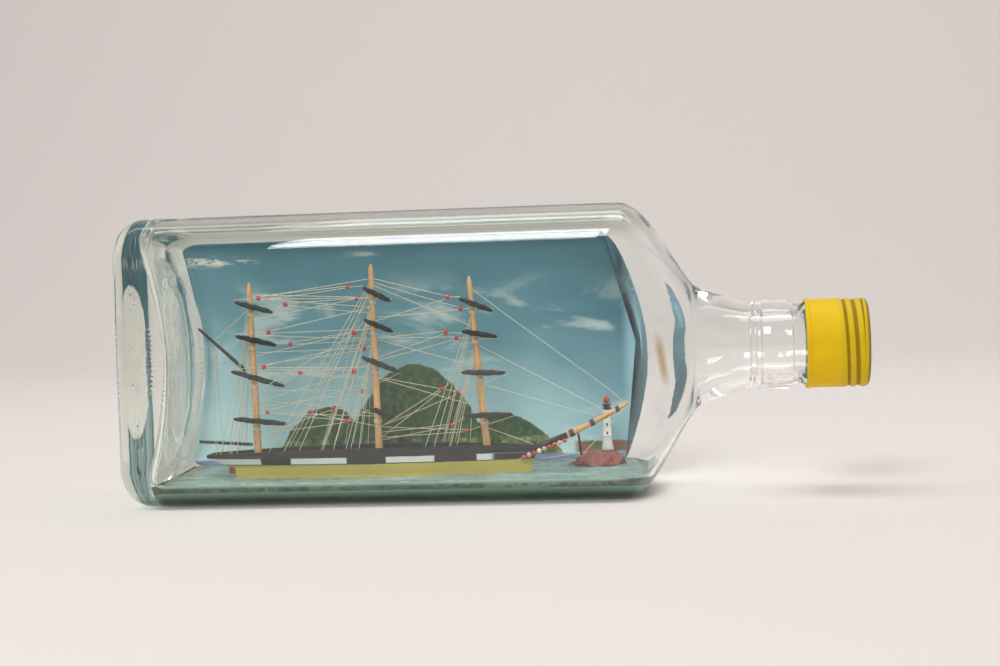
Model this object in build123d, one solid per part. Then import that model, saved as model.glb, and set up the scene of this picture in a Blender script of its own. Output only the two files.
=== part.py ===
from build123d import *

import math
import os

# A ship in a bottle: a three-masted ship in a clear rectangular spirit bottle with a screw cap.
# Millimetres. +X runs from the bottle's base to its cap, +Y from the front to the painted back
# wall, +Z up. The bottle lies on a narrow side; the origin is under the middle of its length.

# ---------------------------------------------------------------- bottle
BODY_LENGTH = 172.5  # straight body, from the base to the shoulder
BODY_HEIGHT = 99.0  # upright as the bottle lies
BODY_WIDTH = 64.0  # front to back
BODY_CORNER = 15.0  # radius of the body's four long corners
HEEL_RADIUS = 10.0  # round edge between base and walls
WALL = 3.0
BASE_THICKNESS = 9.5  # at its edge
BASE_SWELL = 8.0  # how much thicker the glass of the base is in the middle of its height
BASE_SWELL_HALF = 41.0  # half the height of that swelling
INNER_HEEL_RADIUS = 7.0
PUSH_UP_HEIGHT = 4.0  # oval dish under the base
PUSH_UP_RIM = 12.0  # from the dish's edge to the outside of the body
PUSH_UP_ROUND = 0.49  # corner radius against the oval's width; 0.5 is a full half round
PUSH_UP_TAPER = 35.0  # degrees
SHOULDER_LENGTH = 25.0
SHOULDER_SECTIONS = 5
SHOULDER_POWER = 1.3  # how soon the shoulder falls away; 1 is a plain cosine
NECK_ROUND = 0.985  # corner radius against half width where the shoulder ends; 1 is a circle
TAPER_STEP = 5.4  # how much wider than the cap the shoulder ends
TAPER_LENGTH = 21.5
NECK_HOLLOW = [(0.22, 0.66), (0.5, 0.35)]  # the hollow taper: share of its length, and of its fall left
BORE_HOLLOW = (0.5, 0.25)  # and so for the bore
COLLAR_STEP = 0.1  # collar over cap
COLLAR_LENGTH = 10.2
COLLAR_EDGE = 0.6
RING_STEP = 0.2  # the fine double ring just behind the collar, under the collar
RING_HEIGHT = 0.5
RING_WIDTH = 1.4
NECK_STEP = 1.25  # the bare neck, under the collar
NECK_LENGTH = 4.3  # bare neck between collar and cap
FINISH_WALL = 2.4  # the mouth, inside the cap
FINISH_EDGE = 0.8

# ---------------------------------------------------------------- cap
CAP_LENGTH = 21.0
CAP_RADIUS = 15.0
CAP_RIM_STEP = 0.25
CAP_RIM_EDGE = 0.3
CAP_RIM_LENGTH = 1.6
CAP_WALL = 0.7
CAP_ROOM = 1.1  # between the mouth and the cap, where the thread is
CAP_EDGE = 1.8  # round edge at the closed end
CAP_GROOVES = 3  # turns of the rolled thread, as rings
THREAD_PITCH = 3.2  # of the screw, and so between the grooves
GROOVE_DEPTH = 0.35
GROOVE_HALF_WIDTH = 0.5
GROOVE_START = 11.7  # from the rim to the first groove
LINER_THICKNESS = 1.6
LINER_SIDE_GAP = 0.3
SEAT_GAP = 0.1  # between parts that press on each other
OVERLAP = 0.5  # how far two forms run into each other before they are joined or cut

# ---------------------------------------------------------------- sea, paint and shore
SEA_DEPTH = 5.3  # thickness of the putty
SKIN_GAP = 0.05  # between the glass and what lies on it
SEA_END_GAP = 2.0  # from the inside of the base
PAINT_THICKNESS = 0.35
PAINT_TOP_GAP = 3.5  # bare glass over the paint
PAINT_END_TOP = -7.1  # the paint's rounded end, from the start of the shoulder: at its top
PAINT_END_MIDDLE = 9.4  # where it reaches furthest
PAINT_END_LOW = 1.7  # and at the sea
PAINT_END_DROP = 7.0  # the furthest point, under the bottle's axis
ROCK_ALONG = 137.5  # from the stern, as all places called along
ROCK_SIDE = 15.0  # behind the ship's centre line
ROCK_HALF_LENGTH = 11.3
ROCK_HALF_DEPTH = 6.0
ROCK_HEIGHT = 4.7
ROCK_LEAN = 2.0  # how far its top stands forward of its foot
ROCK_LEVELS = [(0, 1.0), (0.5, 0.8), (1.0, 0.42)]  # share of its height, and size against its foot
TOWER_ALONG = 140.0
TOWER_HEIGHT = 14.2
TOWER_FOOT_RADIUS = 2.5
TOWER_RADIUS = 1.55
TOWER_HOLLOW = 0.2  # share of its height where the spreading foot is hollowest
TOWER_HOLLOW_RADIUS = 1.9
GALLERY_RADIUS = 2.0
GALLERY_HEIGHT = 2.1
GALLERY_LEDGE = 0.6  # how far the walk stands out round its room
GALLERY_FLOOR = 0.8
GALLERY_ROOF = 0.5
LAMP_RADIUS = 1.4

# ---------------------------------------------------------------- ship
SHIP_LENGTH = 149.3  # stern tip to jibboom tip; what is called along is on this scale
STERN_GAP = 15.6  # from the inside of the base to the stern tip
BOW_GAP = -2.0  # from the jibboom tip to the start of the shoulder
MAST_HEIGHT = 73.0  # tallest mast over the sea; what is called up or a height is on this scale
MAST_TOP_GAP = 14.7  # from the tallest mast to the upper wall
HULL_DRAFT = 2.2  # how deep the hull sits in the putty
HULL_SIDE_GAP = 0.15  # between the hull and its pocket in the putty
DECK_HEIGHT = 6.8  # over the sea, as all heights below
STERN_SHEER = 7.8  # top of the bulwark at the stern, amidships and at the bow
MID_SHEER = 9.5
BOW_SHEER = 8.8
BULWARK_WALL = 1.0
HALF_BEAM = 9.5
KEEL_HALF_BEAM = 8.2
COUNTER_ALONG = 10.4  # where the hull rises from the water at the stern
KNUCKLE_HEIGHT = 3.0  # where the counter begins to hang over the rudder
STEM_ALONG = 114.2  # where it rises at the bow
BOW_ALONG = 116.0
TRANSOM_SHARE = 0.45  # stern width against the beam
STEM_HALF = 0.6
AFT_SHARE = 1.28  # pulls of the hull's sides against the beam, and where along them
FORE_SHARE = 1.2
SIDE_AFT = 0.3
SIDE_FORE = 0.65
COUNTER_RAKE = 0.6  # how far stern and stem lean out up to the knuckle
STEM_RAKE = 0.7
RUDDER_LENGTH = 2.8
RUDDER_THICKNESS = 1.2
RUDDER_HEIGHT = 2.8
MAST_FOOT_RADIUS = 1.3
MAST_TOP_RADIUS = 0.85
MAST_POINT = 2.0
MAST_TIP_RADIUS = 0.25
MAST_SIDES = 12
YARD_RADIUS = 0.95
YARD_SHOULDER_RADIUS = 0.75  # a tenth of its length from its ends
YARD_END_RADIUS = 0.35
YARD_WAIST = 0.95  # at the mast, against its fattest
YARD_SIDES = 8
WRAP_THICKNESS = 0.35
WRAP_EDGE = 0.3  # thickness at its ends, against the middle
WRAP_LENGTH = 1.1
WRAP_DROP = 2.6  # under the yard's middle
STAPLE_RADIUS = 0.3
STAPLE_HALF_SPAN = 2.2
STAPLE_HEIGHT = 1.3
STAPLE_DEPTH = 2.0
STAPLE_BEND = 0.5
STAPLE_SIDES = 6
SPRIT_RADIUS = 1.15
JIBBOOM_RADIUS = 1.0
JIBBOOM_END_RADIUS = 0.6
JIBBOOM_GAP = 0.35  # from the middle of the bowsprit's end to the middle of the jibboom's heel
BAND_WALL = 0.3
BAND_LENGTH = 1.6
FIT = 0.06  # running gap round pins and bores
THREAD_RADIUS = 0.2
THREAD_GAP = 0.12  # from the end of a thread to what it is tied to
THREAD_SIDES = 6
FOOT_STEPS = 7  # how many steps a shroud's foot may move along the rail to clear another line
THREAD_CLEARANCE = 0.08  # at least this between threads that cross
SLIP_STEP = 0.3  # how far a thread's end is moved at a time to clear another
SLIP_STEPS = 24
FALL_SPREAD = 0.3  # up and down, between the two falls at their bead
BELAY_SIDE = 0.55  # from the mast's centre plane to its braces and stays
SHROUD_SIDE = 1.05  # and to its shrouds
BEAD_RADIUS = 0.85
BEAD_HALF = 0.65
BEAD_EDGE = 0.7  # radius at its ends, against the middle
BEAD_BORE = 0.32
BEAD_SIDES = 8

# Masts: foot and top along the ship, and height of the top.
MASTS = {
    "mizzen": (17.5, 16.3, 67.9),
    "main": (60.8, 59.9, MAST_HEIGHT),
    "fore": (98.8, 94.1, 67.9),
}
# Yards, from the top: height at the mast, half run forwards, half drop, half span to the side.
# Each near arm points aft and up, each far arm points forwards and down.
YARDS = {
    "mizzen": [(59.2, 4.9, 2.1, 7.0), (47.4, 5.1, 2.1, 8.0), (34.0, 7.0, 3.4, 9.5), (19.0, 7.0, 1.9, 10.0)],
    "main": [(62.3, 3.4, 2.5, 7.5), (51.4, 3.4, 2.4, 8.5), (37.9, 4.5, 3.2, 10.0), (20.8, 3.1, 2.9, 11.0)],
    "fore": [(57.7, 4.8, 2.4, 7.0), (47.6, 5.1, 1.4, 8.0), (34.2, 6.4, 0.8, 9.5), (19.4, 7.2, 0.8, 10.5)],
}
# Braces, from the top: bead along and up, then the two heights its falls are tied at on the mast
# that the brace leads to. Near arms first, then far arms.
BRACES = {
    "mizzen": [
        ((20.9, 62.4), (67.8, 59.9), (27.8, 59.8), (60.9, 56.0)),
        ((24.2, 50.4), (57.8, 48.9), (29.1, 45.8), (50.0, 46.6)),
        ((21.9, 38.4), (46.0, 35.6), (32.4, 35.4), (37.6, 33.4)),
        ((22.6, 22.6), (31.8, 19.1), (35.3, 21.5), (27.6, 17.4)),
    ],
    "main": [
        ((52.6, 65.3), (64.0, 61.4), (53.3, 61.3), (63.6, 57.0)),
        ((54.4, 49.3), (42.0, 30.0), (55.6, 43.3), (44.0, 38.6)),
        ((53.9, 36.1), (37.2, 26.0), (54.2, 28.4), (31.0, 24.0)),
        ((50.9, 18.8), (22.2, 15.8), (44.1, 22.7), (21.0, 14.6)),
    ],
    "fore": [
        ((87.5, 60.7), (67.8, 53.2), (90.2, 56.4), (66.4, 54.4)),
        ((86.4, 48.7), (48.4, 40.4), (88.4, 46.2), (49.0, 39.4)),
        ((84.5, 29.2), (16.7, 12.8), (88.4, 27.0), (34.0, 18.0)),
        ((87.1, 16.6), (14.2, 11.6), (91.4, 13.6), (16.0, 12.4)),
    ],
}
BRACE_LEADS_TO = {"mizzen": "main", "main": "mizzen", "fore": "main"}
BEAD_SIDE = 5.5  # from the ship's centre plane
# Shrouds: height on the mast, then where their feet stand along the rail.
SHROUDS = {
    "mizzen": [(56.6, (7.4, 9.4)), (44.8, (11.6, 13.6))],
    "main": [(66.2, (25.5, 31.0, 36.5)), (56.6, (41.0, 45.0, 48.6)), (43.2, (51.8, 54.6, 57.2))],
    "fore": [(54.0, (80.4, 83.4)), (42.6, (86.2, 88.8, 91.2))],
}
# Stays from mast to mast: lower mast, height, higher mast, height.
MAST_STAYS = [
    ("mizzen", 62.4, "main", 59.0), ("mizzen", 49.4, "main", 47.6), ("mizzen", 36.2, "main", 34.8),
    ("fore", 50.6, "main", 65.4), ("fore", 36.6, "main", 47.2), ("fore", 22.4, "main", 33.0),
]
# Head stays: height on the fore mast, and share of the jibboom's length from its heel.
HEAD_STAYS = [(62.8, 0.93), (44.1, 0.62), (31.9, 0.47)]
BOW_STAY = (14.8, 114.4)  # height on the fore mast, and where it ends along the bow
BOWSPRIT_HEEL = (110.0, 5.7)
BOWSPRIT_END = (126.6, 11.8)
JIBBOOM_TIP = (149.3, 22.6)
BAND_SHARES = (0.03, 0.35, 0.77)
STRIKER_SHARE = 0.16
STRIKER_LENGTH = 7.6
STRIKER_RADIUS = 0.45
STRIKER_RAKE = 0.9
BOBSTAY_LIFT = 0.9  # over the striker's foot
BOBSTAY_SHARE = 0.9  # where the forward one meets the jibboom
BOBSTAY_STEM = 3.6  # height at which the aft one meets the stem
BOBSTAY_STEM_GAP = 0.4
GAFF_HEEL = (14.2, 36.8)
GAFF_END = (-2.4, 52.1)
GAFF_RADIUS = 0.75
BOOM_HEEL = (15.4, 10.9)
BOOM_END = (-3.5, 12.2)
BOOM_RADIUS = 0.6
VANG_SHARE = 0.66  # where the lines that hold the gaff meet it
VANG_FOOT = 3.6  # and where they stand along the rail
GAFF_LIFT = 57.4  # height of the gaff's lift on the mizzen mast
BOW_BEADS = 9
BOW_BEAD_START = (110.0, 4.2, -3.6)
BOW_BEAD_END = (129.4, 11.5, -1.5)

# ---------------------------------------------------------------- worked out from the above
SHOULDER_X = BODY_LENGTH
TAPER_X = SHOULDER_X + SHOULDER_LENGTH
COLLAR_X = TAPER_X + TAPER_LENGTH
NECK_X = COLLAR_X + COLLAR_LENGTH
CAP_X = NECK_X + NECK_LENGTH
OVERALL = CAP_X + CAP_LENGTH
TAPER_RADIUS = CAP_RADIUS + TAPER_STEP
COLLAR_RADIUS = CAP_RADIUS + COLLAR_STEP
RING_RADIUS = COLLAR_RADIUS - RING_STEP
NECK_RADIUS = COLLAR_RADIUS - NECK_STEP
FINISH_RADIUS = CAP_RADIUS - CAP_WALL - CAP_ROOM
BORE_RADIUS = FINISH_RADIUS - FINISH_WALL
BASE_X = -OVERALL / 2
AXIS_Z = BODY_HEIGHT / 2
MOUTH_X = OVERALL - CAP_WALL - LINER_THICKNESS - 2 * SEAT_GAP
INNER_X = BASE_THICKNESS
SEA_Z = WALL + SEA_DEPTH
STERN_X = INNER_X + STERN_GAP
LENGTH_FIT = (SHOULDER_X - BOW_GAP - STERN_X) / SHIP_LENGTH
HEIGHT_FIT = (BODY_HEIGHT - WALL - MAST_TOP_GAP - SEA_Z) / MAST_HEIGHT
AXIS = Axis((0, 0, AXIS_Z), (1, 0, 0))


def across(x):
    """A plane square to the bottle's axis, with its own X along +Y and its own Y along +Z."""
    return Plane(origin=(BASE_X + x, 0, AXIS_Z), x_dir=(0, 1, 0), z_dir=(1, 0, 0))


def body_section(x, inset, share=0.0):
    """The body's rounded rectangle, inset from the outside and drawn in along the shoulder."""
    fall = math.cos(share * math.pi / 2) ** SHOULDER_POWER
    neck = TAPER_RADIUS - inset
    half_width = neck + (BODY_WIDTH / 2 - TAPER_RADIUS) * fall
    half_height = neck + (BODY_HEIGHT / 2 - TAPER_RADIUS) * fall
    corner = NECK_ROUND * neck + (BODY_CORNER - inset - NECK_ROUND * neck) * fall
    return across(x) * RectangleRounded(2 * half_width, 2 * half_height, corner)


def bottle_form(start, inset, heel):
    """The body and shoulder as one solid, inset from the outside by the wall."""
    straight = extrude(body_section(start, inset), SHOULDER_X - start)
    if heel:
        straight = fillet(straight.edges().group_by(Axis.X)[0], heel)
    shares = [i / (SHOULDER_SECTIONS - 1) for i in range(SHOULDER_SECTIONS)]
    sections = [body_section(SHOULDER_X + SHOULDER_LENGTH * s, inset, s) for s in shares]
    return straight + loft(sections)


def base_swell(gap=0.0):
    """The round across the base in which its inside swells towards the ship, grown by a gap."""
    radius = (BASE_SWELL_HALF ** 2 + BASE_SWELL ** 2) / (2 * BASE_SWELL)
    centre = Vector(BASE_X + INNER_X + BASE_SWELL - radius, 0, AXIS_Z)
    return extrude(Plane(origin=centre, z_dir=(0, 1, 0)) * Circle(radius + gap), BODY_WIDTH, both=True)


def spun(points):
    """A solid turned round the bottle's axis from a closed outline of (x, radius) points."""
    outline = [(BASE_X + x, 0, AXIS_Z + r) for x, r in points]
    return revolve(make_face(Polyline(*outline, close=True)), AXIS, 360)


def make_bottle():
    """One piece of glass: body, shoulder, neck, collar and mouth, over an oval push-up."""
    outside = bottle_form(0, 0, HEEL_RADIUS)
    low_ring = RING_RADIUS - RING_HEIGHT
    ring_start = COLLAR_X - 2 * RING_WIDTH
    ring_end = COLLAR_X - RING_WIDTH
    throat = [(TAPER_X + share * TAPER_LENGTH, low_ring + fall * (TAPER_RADIUS - low_ring))
              for share, fall in NECK_HOLLOW]
    neck = spun([
        (TAPER_X - OVERLAP, 0), (TAPER_X - OVERLAP, TAPER_RADIUS), (TAPER_X, TAPER_RADIUS),
        *throat, (ring_start - RING_HEIGHT - RING_WIDTH, low_ring), (ring_start - RING_HEIGHT, low_ring),
        (ring_start, RING_RADIUS), (ring_end, RING_RADIUS), (ring_end + RING_HEIGHT, low_ring),
        (COLLAR_X - RING_HEIGHT, low_ring), (COLLAR_X, COLLAR_RADIUS),
        (NECK_X - COLLAR_EDGE, COLLAR_RADIUS), (NECK_X, COLLAR_RADIUS - COLLAR_EDGE),
        (NECK_X, NECK_RADIUS), (CAP_X, NECK_RADIUS), (CAP_X + NECK_RADIUS - FINISH_RADIUS, FINISH_RADIUS),
        (MOUTH_X - FINISH_EDGE, FINISH_RADIUS), (MOUTH_X, FINISH_RADIUS - FINISH_EDGE), (MOUTH_X, 0),
    ])
    inside = bottle_form(INNER_X, WALL, INNER_HEEL_RADIUS)
    share, fall = BORE_HOLLOW
    bore = spun([
        (TAPER_X - OVERLAP, 0), (TAPER_X - OVERLAP, TAPER_RADIUS - WALL), (TAPER_X, TAPER_RADIUS - WALL),
        (TAPER_X + share * TAPER_LENGTH, BORE_RADIUS + fall * (TAPER_RADIUS - WALL - BORE_RADIUS)),
        (ring_end, BORE_RADIUS), (MOUTH_X + OVERLAP, BORE_RADIUS), (MOUTH_X + OVERLAP, 0),
    ])
    dish_width = BODY_WIDTH - 2 * PUSH_UP_RIM
    dish_height = BODY_HEIGHT - 2 * PUSH_UP_RIM
    oval = RectangleRounded(dish_width, dish_height, PUSH_UP_ROUND * dish_width)
    dish = extrude(across(0) * oval, PUSH_UP_HEIGHT, taper=PUSH_UP_TAPER)
    return (outside + neck) - (inside + bore - base_swell()) - dish


def make_cap():
    """Thin aluminium cap: rim bead, skirt, rolled thread and a rounded end."""
    end = OVERALL
    rim = CAP_RADIUS + CAP_RIM_STEP
    points = [(CAP_X, rim - CAP_RIM_EDGE), (CAP_X + CAP_RIM_EDGE, rim)]
    points += [(CAP_X + CAP_RIM_LENGTH - CAP_RIM_STEP, rim), (CAP_X + CAP_RIM_LENGTH, CAP_RADIUS)]
    for turn in range(CAP_GROOVES):
        groove = CAP_X + GROOVE_START + turn * THREAD_PITCH
        points += [(groove - GROOVE_HALF_WIDTH, CAP_RADIUS), (groove, CAP_RADIUS - GROOVE_DEPTH)]
        points += [(groove + GROOVE_HALF_WIDTH, CAP_RADIUS)]
    corner = end - (1 - math.sqrt(0.5)) * CAP_EDGE
    points += [(end - CAP_EDGE, CAP_RADIUS), (corner, CAP_RADIUS + corner - end)]
    points += [(end, CAP_RADIUS - CAP_EDGE)]
    points += [(end, 0), (end - CAP_WALL, 0), (end - CAP_WALL, CAP_RADIUS - CAP_EDGE - 0.5 * CAP_WALL)]
    points += [(end - CAP_EDGE, CAP_RADIUS - CAP_WALL), (CAP_X, CAP_RADIUS - CAP_WALL)]
    return spun(points)


def make_liner():
    """The sealing disc between the cap's end and the mouth, bevelled to fit the cap's round edge."""
    radius = CAP_RADIUS - CAP_WALL - LINER_SIDE_GAP
    start = MOUTH_X + SEAT_GAP
    end = start + LINER_THICKNESS
    bevel = 0.9 * CAP_EDGE
    return spun([(start, 0), (start, radius), (end - 0.5 * bevel, radius), (end, radius - bevel), (end, 0)])


def at(along, up, side=0.0):
    """A point of the ship: along from the stern tip, up from the sea, side from the centre plane."""
    return Vector(BASE_X + STERN_X + along * LENGTH_FIT, side, SEA_Z + up * HEIGHT_FIT)


def turned(profile, start, direction):
    """A solid turned round a line, from (distance, radius) pairs starting on the line."""
    points = [(r, 0, d) for d, r in profile]
    solid = revolve(make_face(Polyline(*points, close=True)), Axis.Z, 360)
    return Plane(origin=start, z_dir=direction) * solid


def stick(start, end, profile, sides):
    """A straight stick whittled to flat sides: the profile gives shares of its length and radii."""
    run = end - start
    sections = []
    for share, radius in profile:
        place = Plane(origin=start + run * share, z_dir=run)
        sections.append(place * RegularPolygon(radius, sides))
    return loft(sections, ruled=True)


def strand(start, end):
    """A tight length of thread."""
    section = Plane(origin=start, z_dir=end - start) * RegularPolygon(THREAD_RADIUS, THREAD_SIDES)
    return extrude(section, (end - start).length)


def mast_foot(name):
    return at(MASTS[name][0], DECK_HEIGHT) + Vector(0, 0, SEAT_GAP + SKIN_GAP)


def mast_top(name):
    return at(MASTS[name][1], MASTS[name][2])


def mast_at(name, up):
    """The mast's centre line and radius at a height over the sea."""
    foot, top = mast_foot(name), mast_top(name)
    share = (SEA_Z + up * HEIGHT_FIT - foot.Z) / (top.Z - foot.Z)
    return foot + (top - foot) * share, MAST_FOOT_RADIUS + (MAST_TOP_RADIUS - MAST_FOOT_RADIUS) * share


def make_mast(name):
    """A round tapered stick with a blunt point, bored across its foot for the staple."""
    foot, top = mast_foot(name), mast_top(name)
    point = 1 - MAST_POINT / (top - foot).length
    profile = [(0, MAST_FOOT_RADIUS), (point, MAST_TOP_RADIUS), (1, MAST_TIP_RADIUS)]
    mast = stick(foot, top, profile, MAST_SIDES)
    bore = Plane(origin=foot + Vector(0, 0, STAPLE_HEIGHT), z_dir=(0, 1, 0)) * Circle(STAPLE_RADIUS + FIT)
    return mast - extrude(bore, 2 * MAST_FOOT_RADIUS, both=True)


def make_staple(name):
    """A wire staple: a bar through the mast's foot, bent down into the deck at both ends."""
    centre = mast_foot(name) + Vector(0, 0, STAPLE_HEIGHT)
    span, bend = STAPLE_HALF_SPAN, STAPLE_BEND
    drop = STAPLE_HEIGHT + STAPLE_DEPTH
    points = [(-span, -drop), (-span, -bend), (bend - span, 0)]
    points += [(-side, up) for side, up in reversed(points)]
    path = Polyline(*[centre + Vector(0, side, up) for side, up in points])
    start = Plane(origin=centre + Vector(0, -span, -drop), z_dir=(0, 0, 1))
    wire = start * RegularPolygon(STAPLE_RADIUS, STAPLE_SIDES)
    return sweep(wire, path=path, transition=Transition.RIGHT)


def staple_holes(name):
    """The two holes in the deck for a staple's legs."""
    centre = mast_foot(name)
    holes = []
    for side in (-1, 1):
        leg = Plane(origin=centre + Vector(0, side * STAPLE_HALF_SPAN, OVERLAP), z_dir=(0, 0, -1))
        holes.append(extrude(leg * Circle(STAPLE_RADIUS + FIT), STAPLE_DEPTH + 2 * OVERLAP))
    return holes


def yard_line(name, yard):
    """The two ends of a yard, which crosses on the near and forward side of its mast."""
    up, run, drop, span = yard
    centre, radius = mast_at(name, up)
    length = math.hypot(run, span)
    outward = Vector(span / length, -run / length, 0)
    centre = centre + outward * (radius + YARD_RADIUS + THREAD_GAP)
    half = Vector(run * LENGTH_FIT, span, -drop)
    return centre - half, centre + half


def make_yard(name, yard):
    """A yard with its sail furled along it: fat in the middle, thin at the arms."""
    near, far = yard_line(name, yard)
    half = [(0, YARD_END_RADIUS), (0.1, YARD_SHOULDER_RADIUS), (0.28, YARD_RADIUS)]
    middle = (0.5, YARD_WAIST * YARD_RADIUS)
    profile = half + [middle] + [(1 - share, radius) for share, radius in reversed(half)]
    return stick(near, far, profile, YARD_SIDES)


def sleeve(start, end, profile, bore, sides):
    """A short flat-sided tube."""
    hole = stick(start, end, [(-0.1, bore), (1.1, bore)], sides)
    return stick(start, end, profile, sides) - hole


def ring_round_mast(name, up):
    """Thread wound round a mast."""
    centre, radius = mast_at(name, up)
    inner = radius + FIT
    outer = inner + WRAP_THICKNESS
    half = (mast_top(name) - mast_foot(name)).normalized() * (WRAP_LENGTH / 2)
    low = inner + WRAP_EDGE * WRAP_THICKNESS
    profile = [(0, low), (0.5, outer), (1, low)]
    return sleeve(centre - half, centre + half, profile, inner, MAST_SIDES)


def tie_point(name, up, side, toward, spread=BELAY_SIDE):
    """Where a thread meets a mast at a height: on its near or far side, aft or forward."""
    centre, radius = mast_at(name, up)
    reach = radius + THREAD_RADIUS + THREAD_GAP
    return centre + Vector(toward * math.sqrt(reach ** 2 - spread ** 2), side * spread, 0)


laid = []  # what is in place: two ends and a radius each


def minus(p, q):
    return p[0] - q[0], p[1] - q[1], p[2] - q[2]


def dot(p, q):
    return p[0] * q[0] + p[1] * q[1] + p[2] * q[2]


def line_gap(a, b, c, d):
    """The least distance between the lines from a to b and from c to d."""
    u, v, w = minus(b, a), minus(d, c), minus(a, c)
    uu, uv, vv = dot(u, u), dot(u, v), dot(v, v)
    uw, vw = dot(u, w), dot(v, w)
    slope = uu * vv - uv * uv
    s = min(1, max(0, (uv * vw - vv * uw) / slope)) if slope > 0 else 0
    t = min(1, max(0, (uv * s + vw) / vv))
    s = min(1, max(0, (uv * t - uw) / uu))
    return math.dist((w[0] + s * u[0], w[1] + s * u[1], w[2] + s * u[2]), (t * v[0], t * v[1], t * v[2]))


def note(start, end, radius):
    """Remember what a line or a stick takes up."""
    laid.append((tuple(start), tuple(end), radius))


def room(start, end):
    """How much room a thread from start to end has to everything that is in place."""
    a, b = tuple(start), tuple(end)
    return min(line_gap(a, b, c, d) - r - THREAD_RADIUS for c, d, r in laid)


def lay(places):
    """Lay a thread at the first of its places that is clear, or else at the roomiest."""
    best, best_room = None, -BODY_LENGTH
    for start, end in places:
        free = room(start, end)
        if free > best_room:
            best, best_room = (start, end), free
        if free >= THREAD_CLEARANCE:
            break
    note(*best, THREAD_RADIUS)
    return best


def slips():
    """0, then steps further down and up in turn."""
    return [0.0] + [sign * SLIP_STEP * k for k in range(1, SLIP_STEPS) for sign in (-1, 1)]


def make_bead(centre, direction):
    """A small bead with its bore along the thread."""
    half = direction.normalized() * BEAD_HALF
    low = BEAD_EDGE * BEAD_RADIUS
    profile = [(0, low), (0.5, BEAD_RADIUS), (1, low)]
    return sleeve(centre - half, centre + half, profile, BEAD_BORE, BEAD_SIDES)


def make_brace(name, index, arm):
    """A brace: a pendant from the yard arm through its bead, and two falls to the next mast."""
    row = BRACES[name][index]
    place, heights = row[2 * arm], row[2 * arm + 1]
    side = 2 * arm - 1
    start = yard_line(name, YARDS[name][index])[arm]
    beads = [at(*place, side * (BEAD_SIDE + slip)) for slip in slips()[:SLIP_STEPS]]
    lift = YARD_END_RADIUS + THREAD_RADIUS + THREAD_GAP
    start = start + Vector(0, 0, math.copysign(lift, beads[0].Z - start.Z))
    start, end = lay([(start, bead + (bead - start).normalized() * BEAD_HALF) for bead in beads])
    pull = (end - start).normalized()
    bead = end - pull * BEAD_HALF
    threads = [strand(start, end)]
    other = BRACE_LEADS_TO[name]
    toward = 1 if MASTS[other][0] < MASTS[name][0] else -1
    for height, shift in zip(heights, (FALL_SPREAD, -FALL_SPREAD)):
        places = []
        for slip in slips():
            for belay in (side, -side):
                finish = tie_point(other, height + slip, belay, toward)
                away = (finish - bead).normalized() * (BEAD_RADIUS + 2 * THREAD_GAP)
                places.append((bead + away + Vector(0, 0, shift), finish))
        threads.append(strand(*lay(places)))
    note(bead - pull * FIT, bead + pull * FIT, BEAD_RADIUS)
    return threads, make_bead(bead, pull)


def hull_outline(stern, bow, half_beam, up, gap=0.0):
    """The hull seen from above at one height, or its pocket: transom, curved sides and stem."""
    length = bow - stern
    sides = []
    for side in (1, -1):
        points = [(stern - gap, TRANSOM_SHARE * half_beam)]
        points += [(stern + SIDE_AFT * length, AFT_SHARE * half_beam)]
        points += [(stern + SIDE_FORE * length, FORE_SHARE * half_beam), (bow + gap, STEM_HALF)]
        sides.append([at(a, up, side * (s + gap)) for a, s in points])
    near, far = sides
    edges = [Bezier(*near), Line(near[3], far[3]), Bezier(*far), Line(far[0], near[0])]
    return make_face(Wire(edges))


def make_hull():
    """A carved block: straight sides in the putty, flared sides and an overhanging counter."""
    keel = hull_outline(COUNTER_ALONG, STEM_ALONG, KEEL_HALF_BEAM, -HULL_DRAFT / HEIGHT_FIT)
    middle = 0.5 * (KEEL_HALF_BEAM + HALF_BEAM)
    levels = [
        hull_outline(COUNTER_ALONG, STEM_ALONG, KEEL_HALF_BEAM, 0),
        hull_outline(COUNTER_ALONG - COUNTER_RAKE, STEM_ALONG + STEM_RAKE, middle, KNUCKLE_HEIGHT),
        hull_outline(0, BOW_ALONG, HALF_BEAM, DECK_HEIGHT),
    ]
    hull = extrude(keel, HULL_DRAFT, dir=(0, 0, 1)) + loft(levels, ruled=True)
    for name in MASTS:
        for hole in staple_holes(name):
            hull = hull - hole
    return hull - bowsprit_bore()


def sheer_at(along):
    """The height of the bulwark's top: a parabola through stern, middle and bow."""
    t = along / BOW_ALONG
    lift = 4 * MID_SHEER - STERN_SHEER - BOW_SHEER
    return STERN_SHEER * (1 - t) ** 2 + lift * t * (1 - t) + BOW_SHEER * t ** 2


def make_bulwark():
    """The strip that stands round the deck, cut to the sheer."""
    tall = 2 * MID_SHEER
    base = DECK_HEIGHT + SKIN_GAP
    outer = extrude(hull_outline(0, BOW_ALONG, HALF_BEAM, base), tall, dir=(0, 0, 1))
    inner_beam = HALF_BEAM - BULWARK_WALL
    inner = hull_outline(BULWARK_WALL, BOW_ALONG - 3 * BULWARK_WALL, inner_beam, base)
    ring = outer - extrude(inner, tall, dir=(0, 0, 1))
    control = at(BOW_ALONG / 2, 2 * MID_SHEER - 0.5 * (STERN_SHEER + BOW_SHEER))
    stern, bow = at(0, STERN_SHEER), at(BOW_ALONG, BOW_SHEER)
    aft, fore, low = Vector(-5, 0, 0), Vector(5, 0, 0), Vector(0, 0, -tall)
    edges = [Line(stern + aft, stern), Bezier(stern, control, bow), Line(bow, bow + fore)]
    edges += [Line(bow + fore, bow + fore + low), Line(bow + fore + low, stern + aft + low)]
    edges += [Line(stern + aft + low, stern + aft)]
    under_sheer = extrude(make_face(Wire(edges)), HALF_BEAM * 2, both=True)
    return (ring & under_sheer) - bowsprit_bore()


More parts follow.
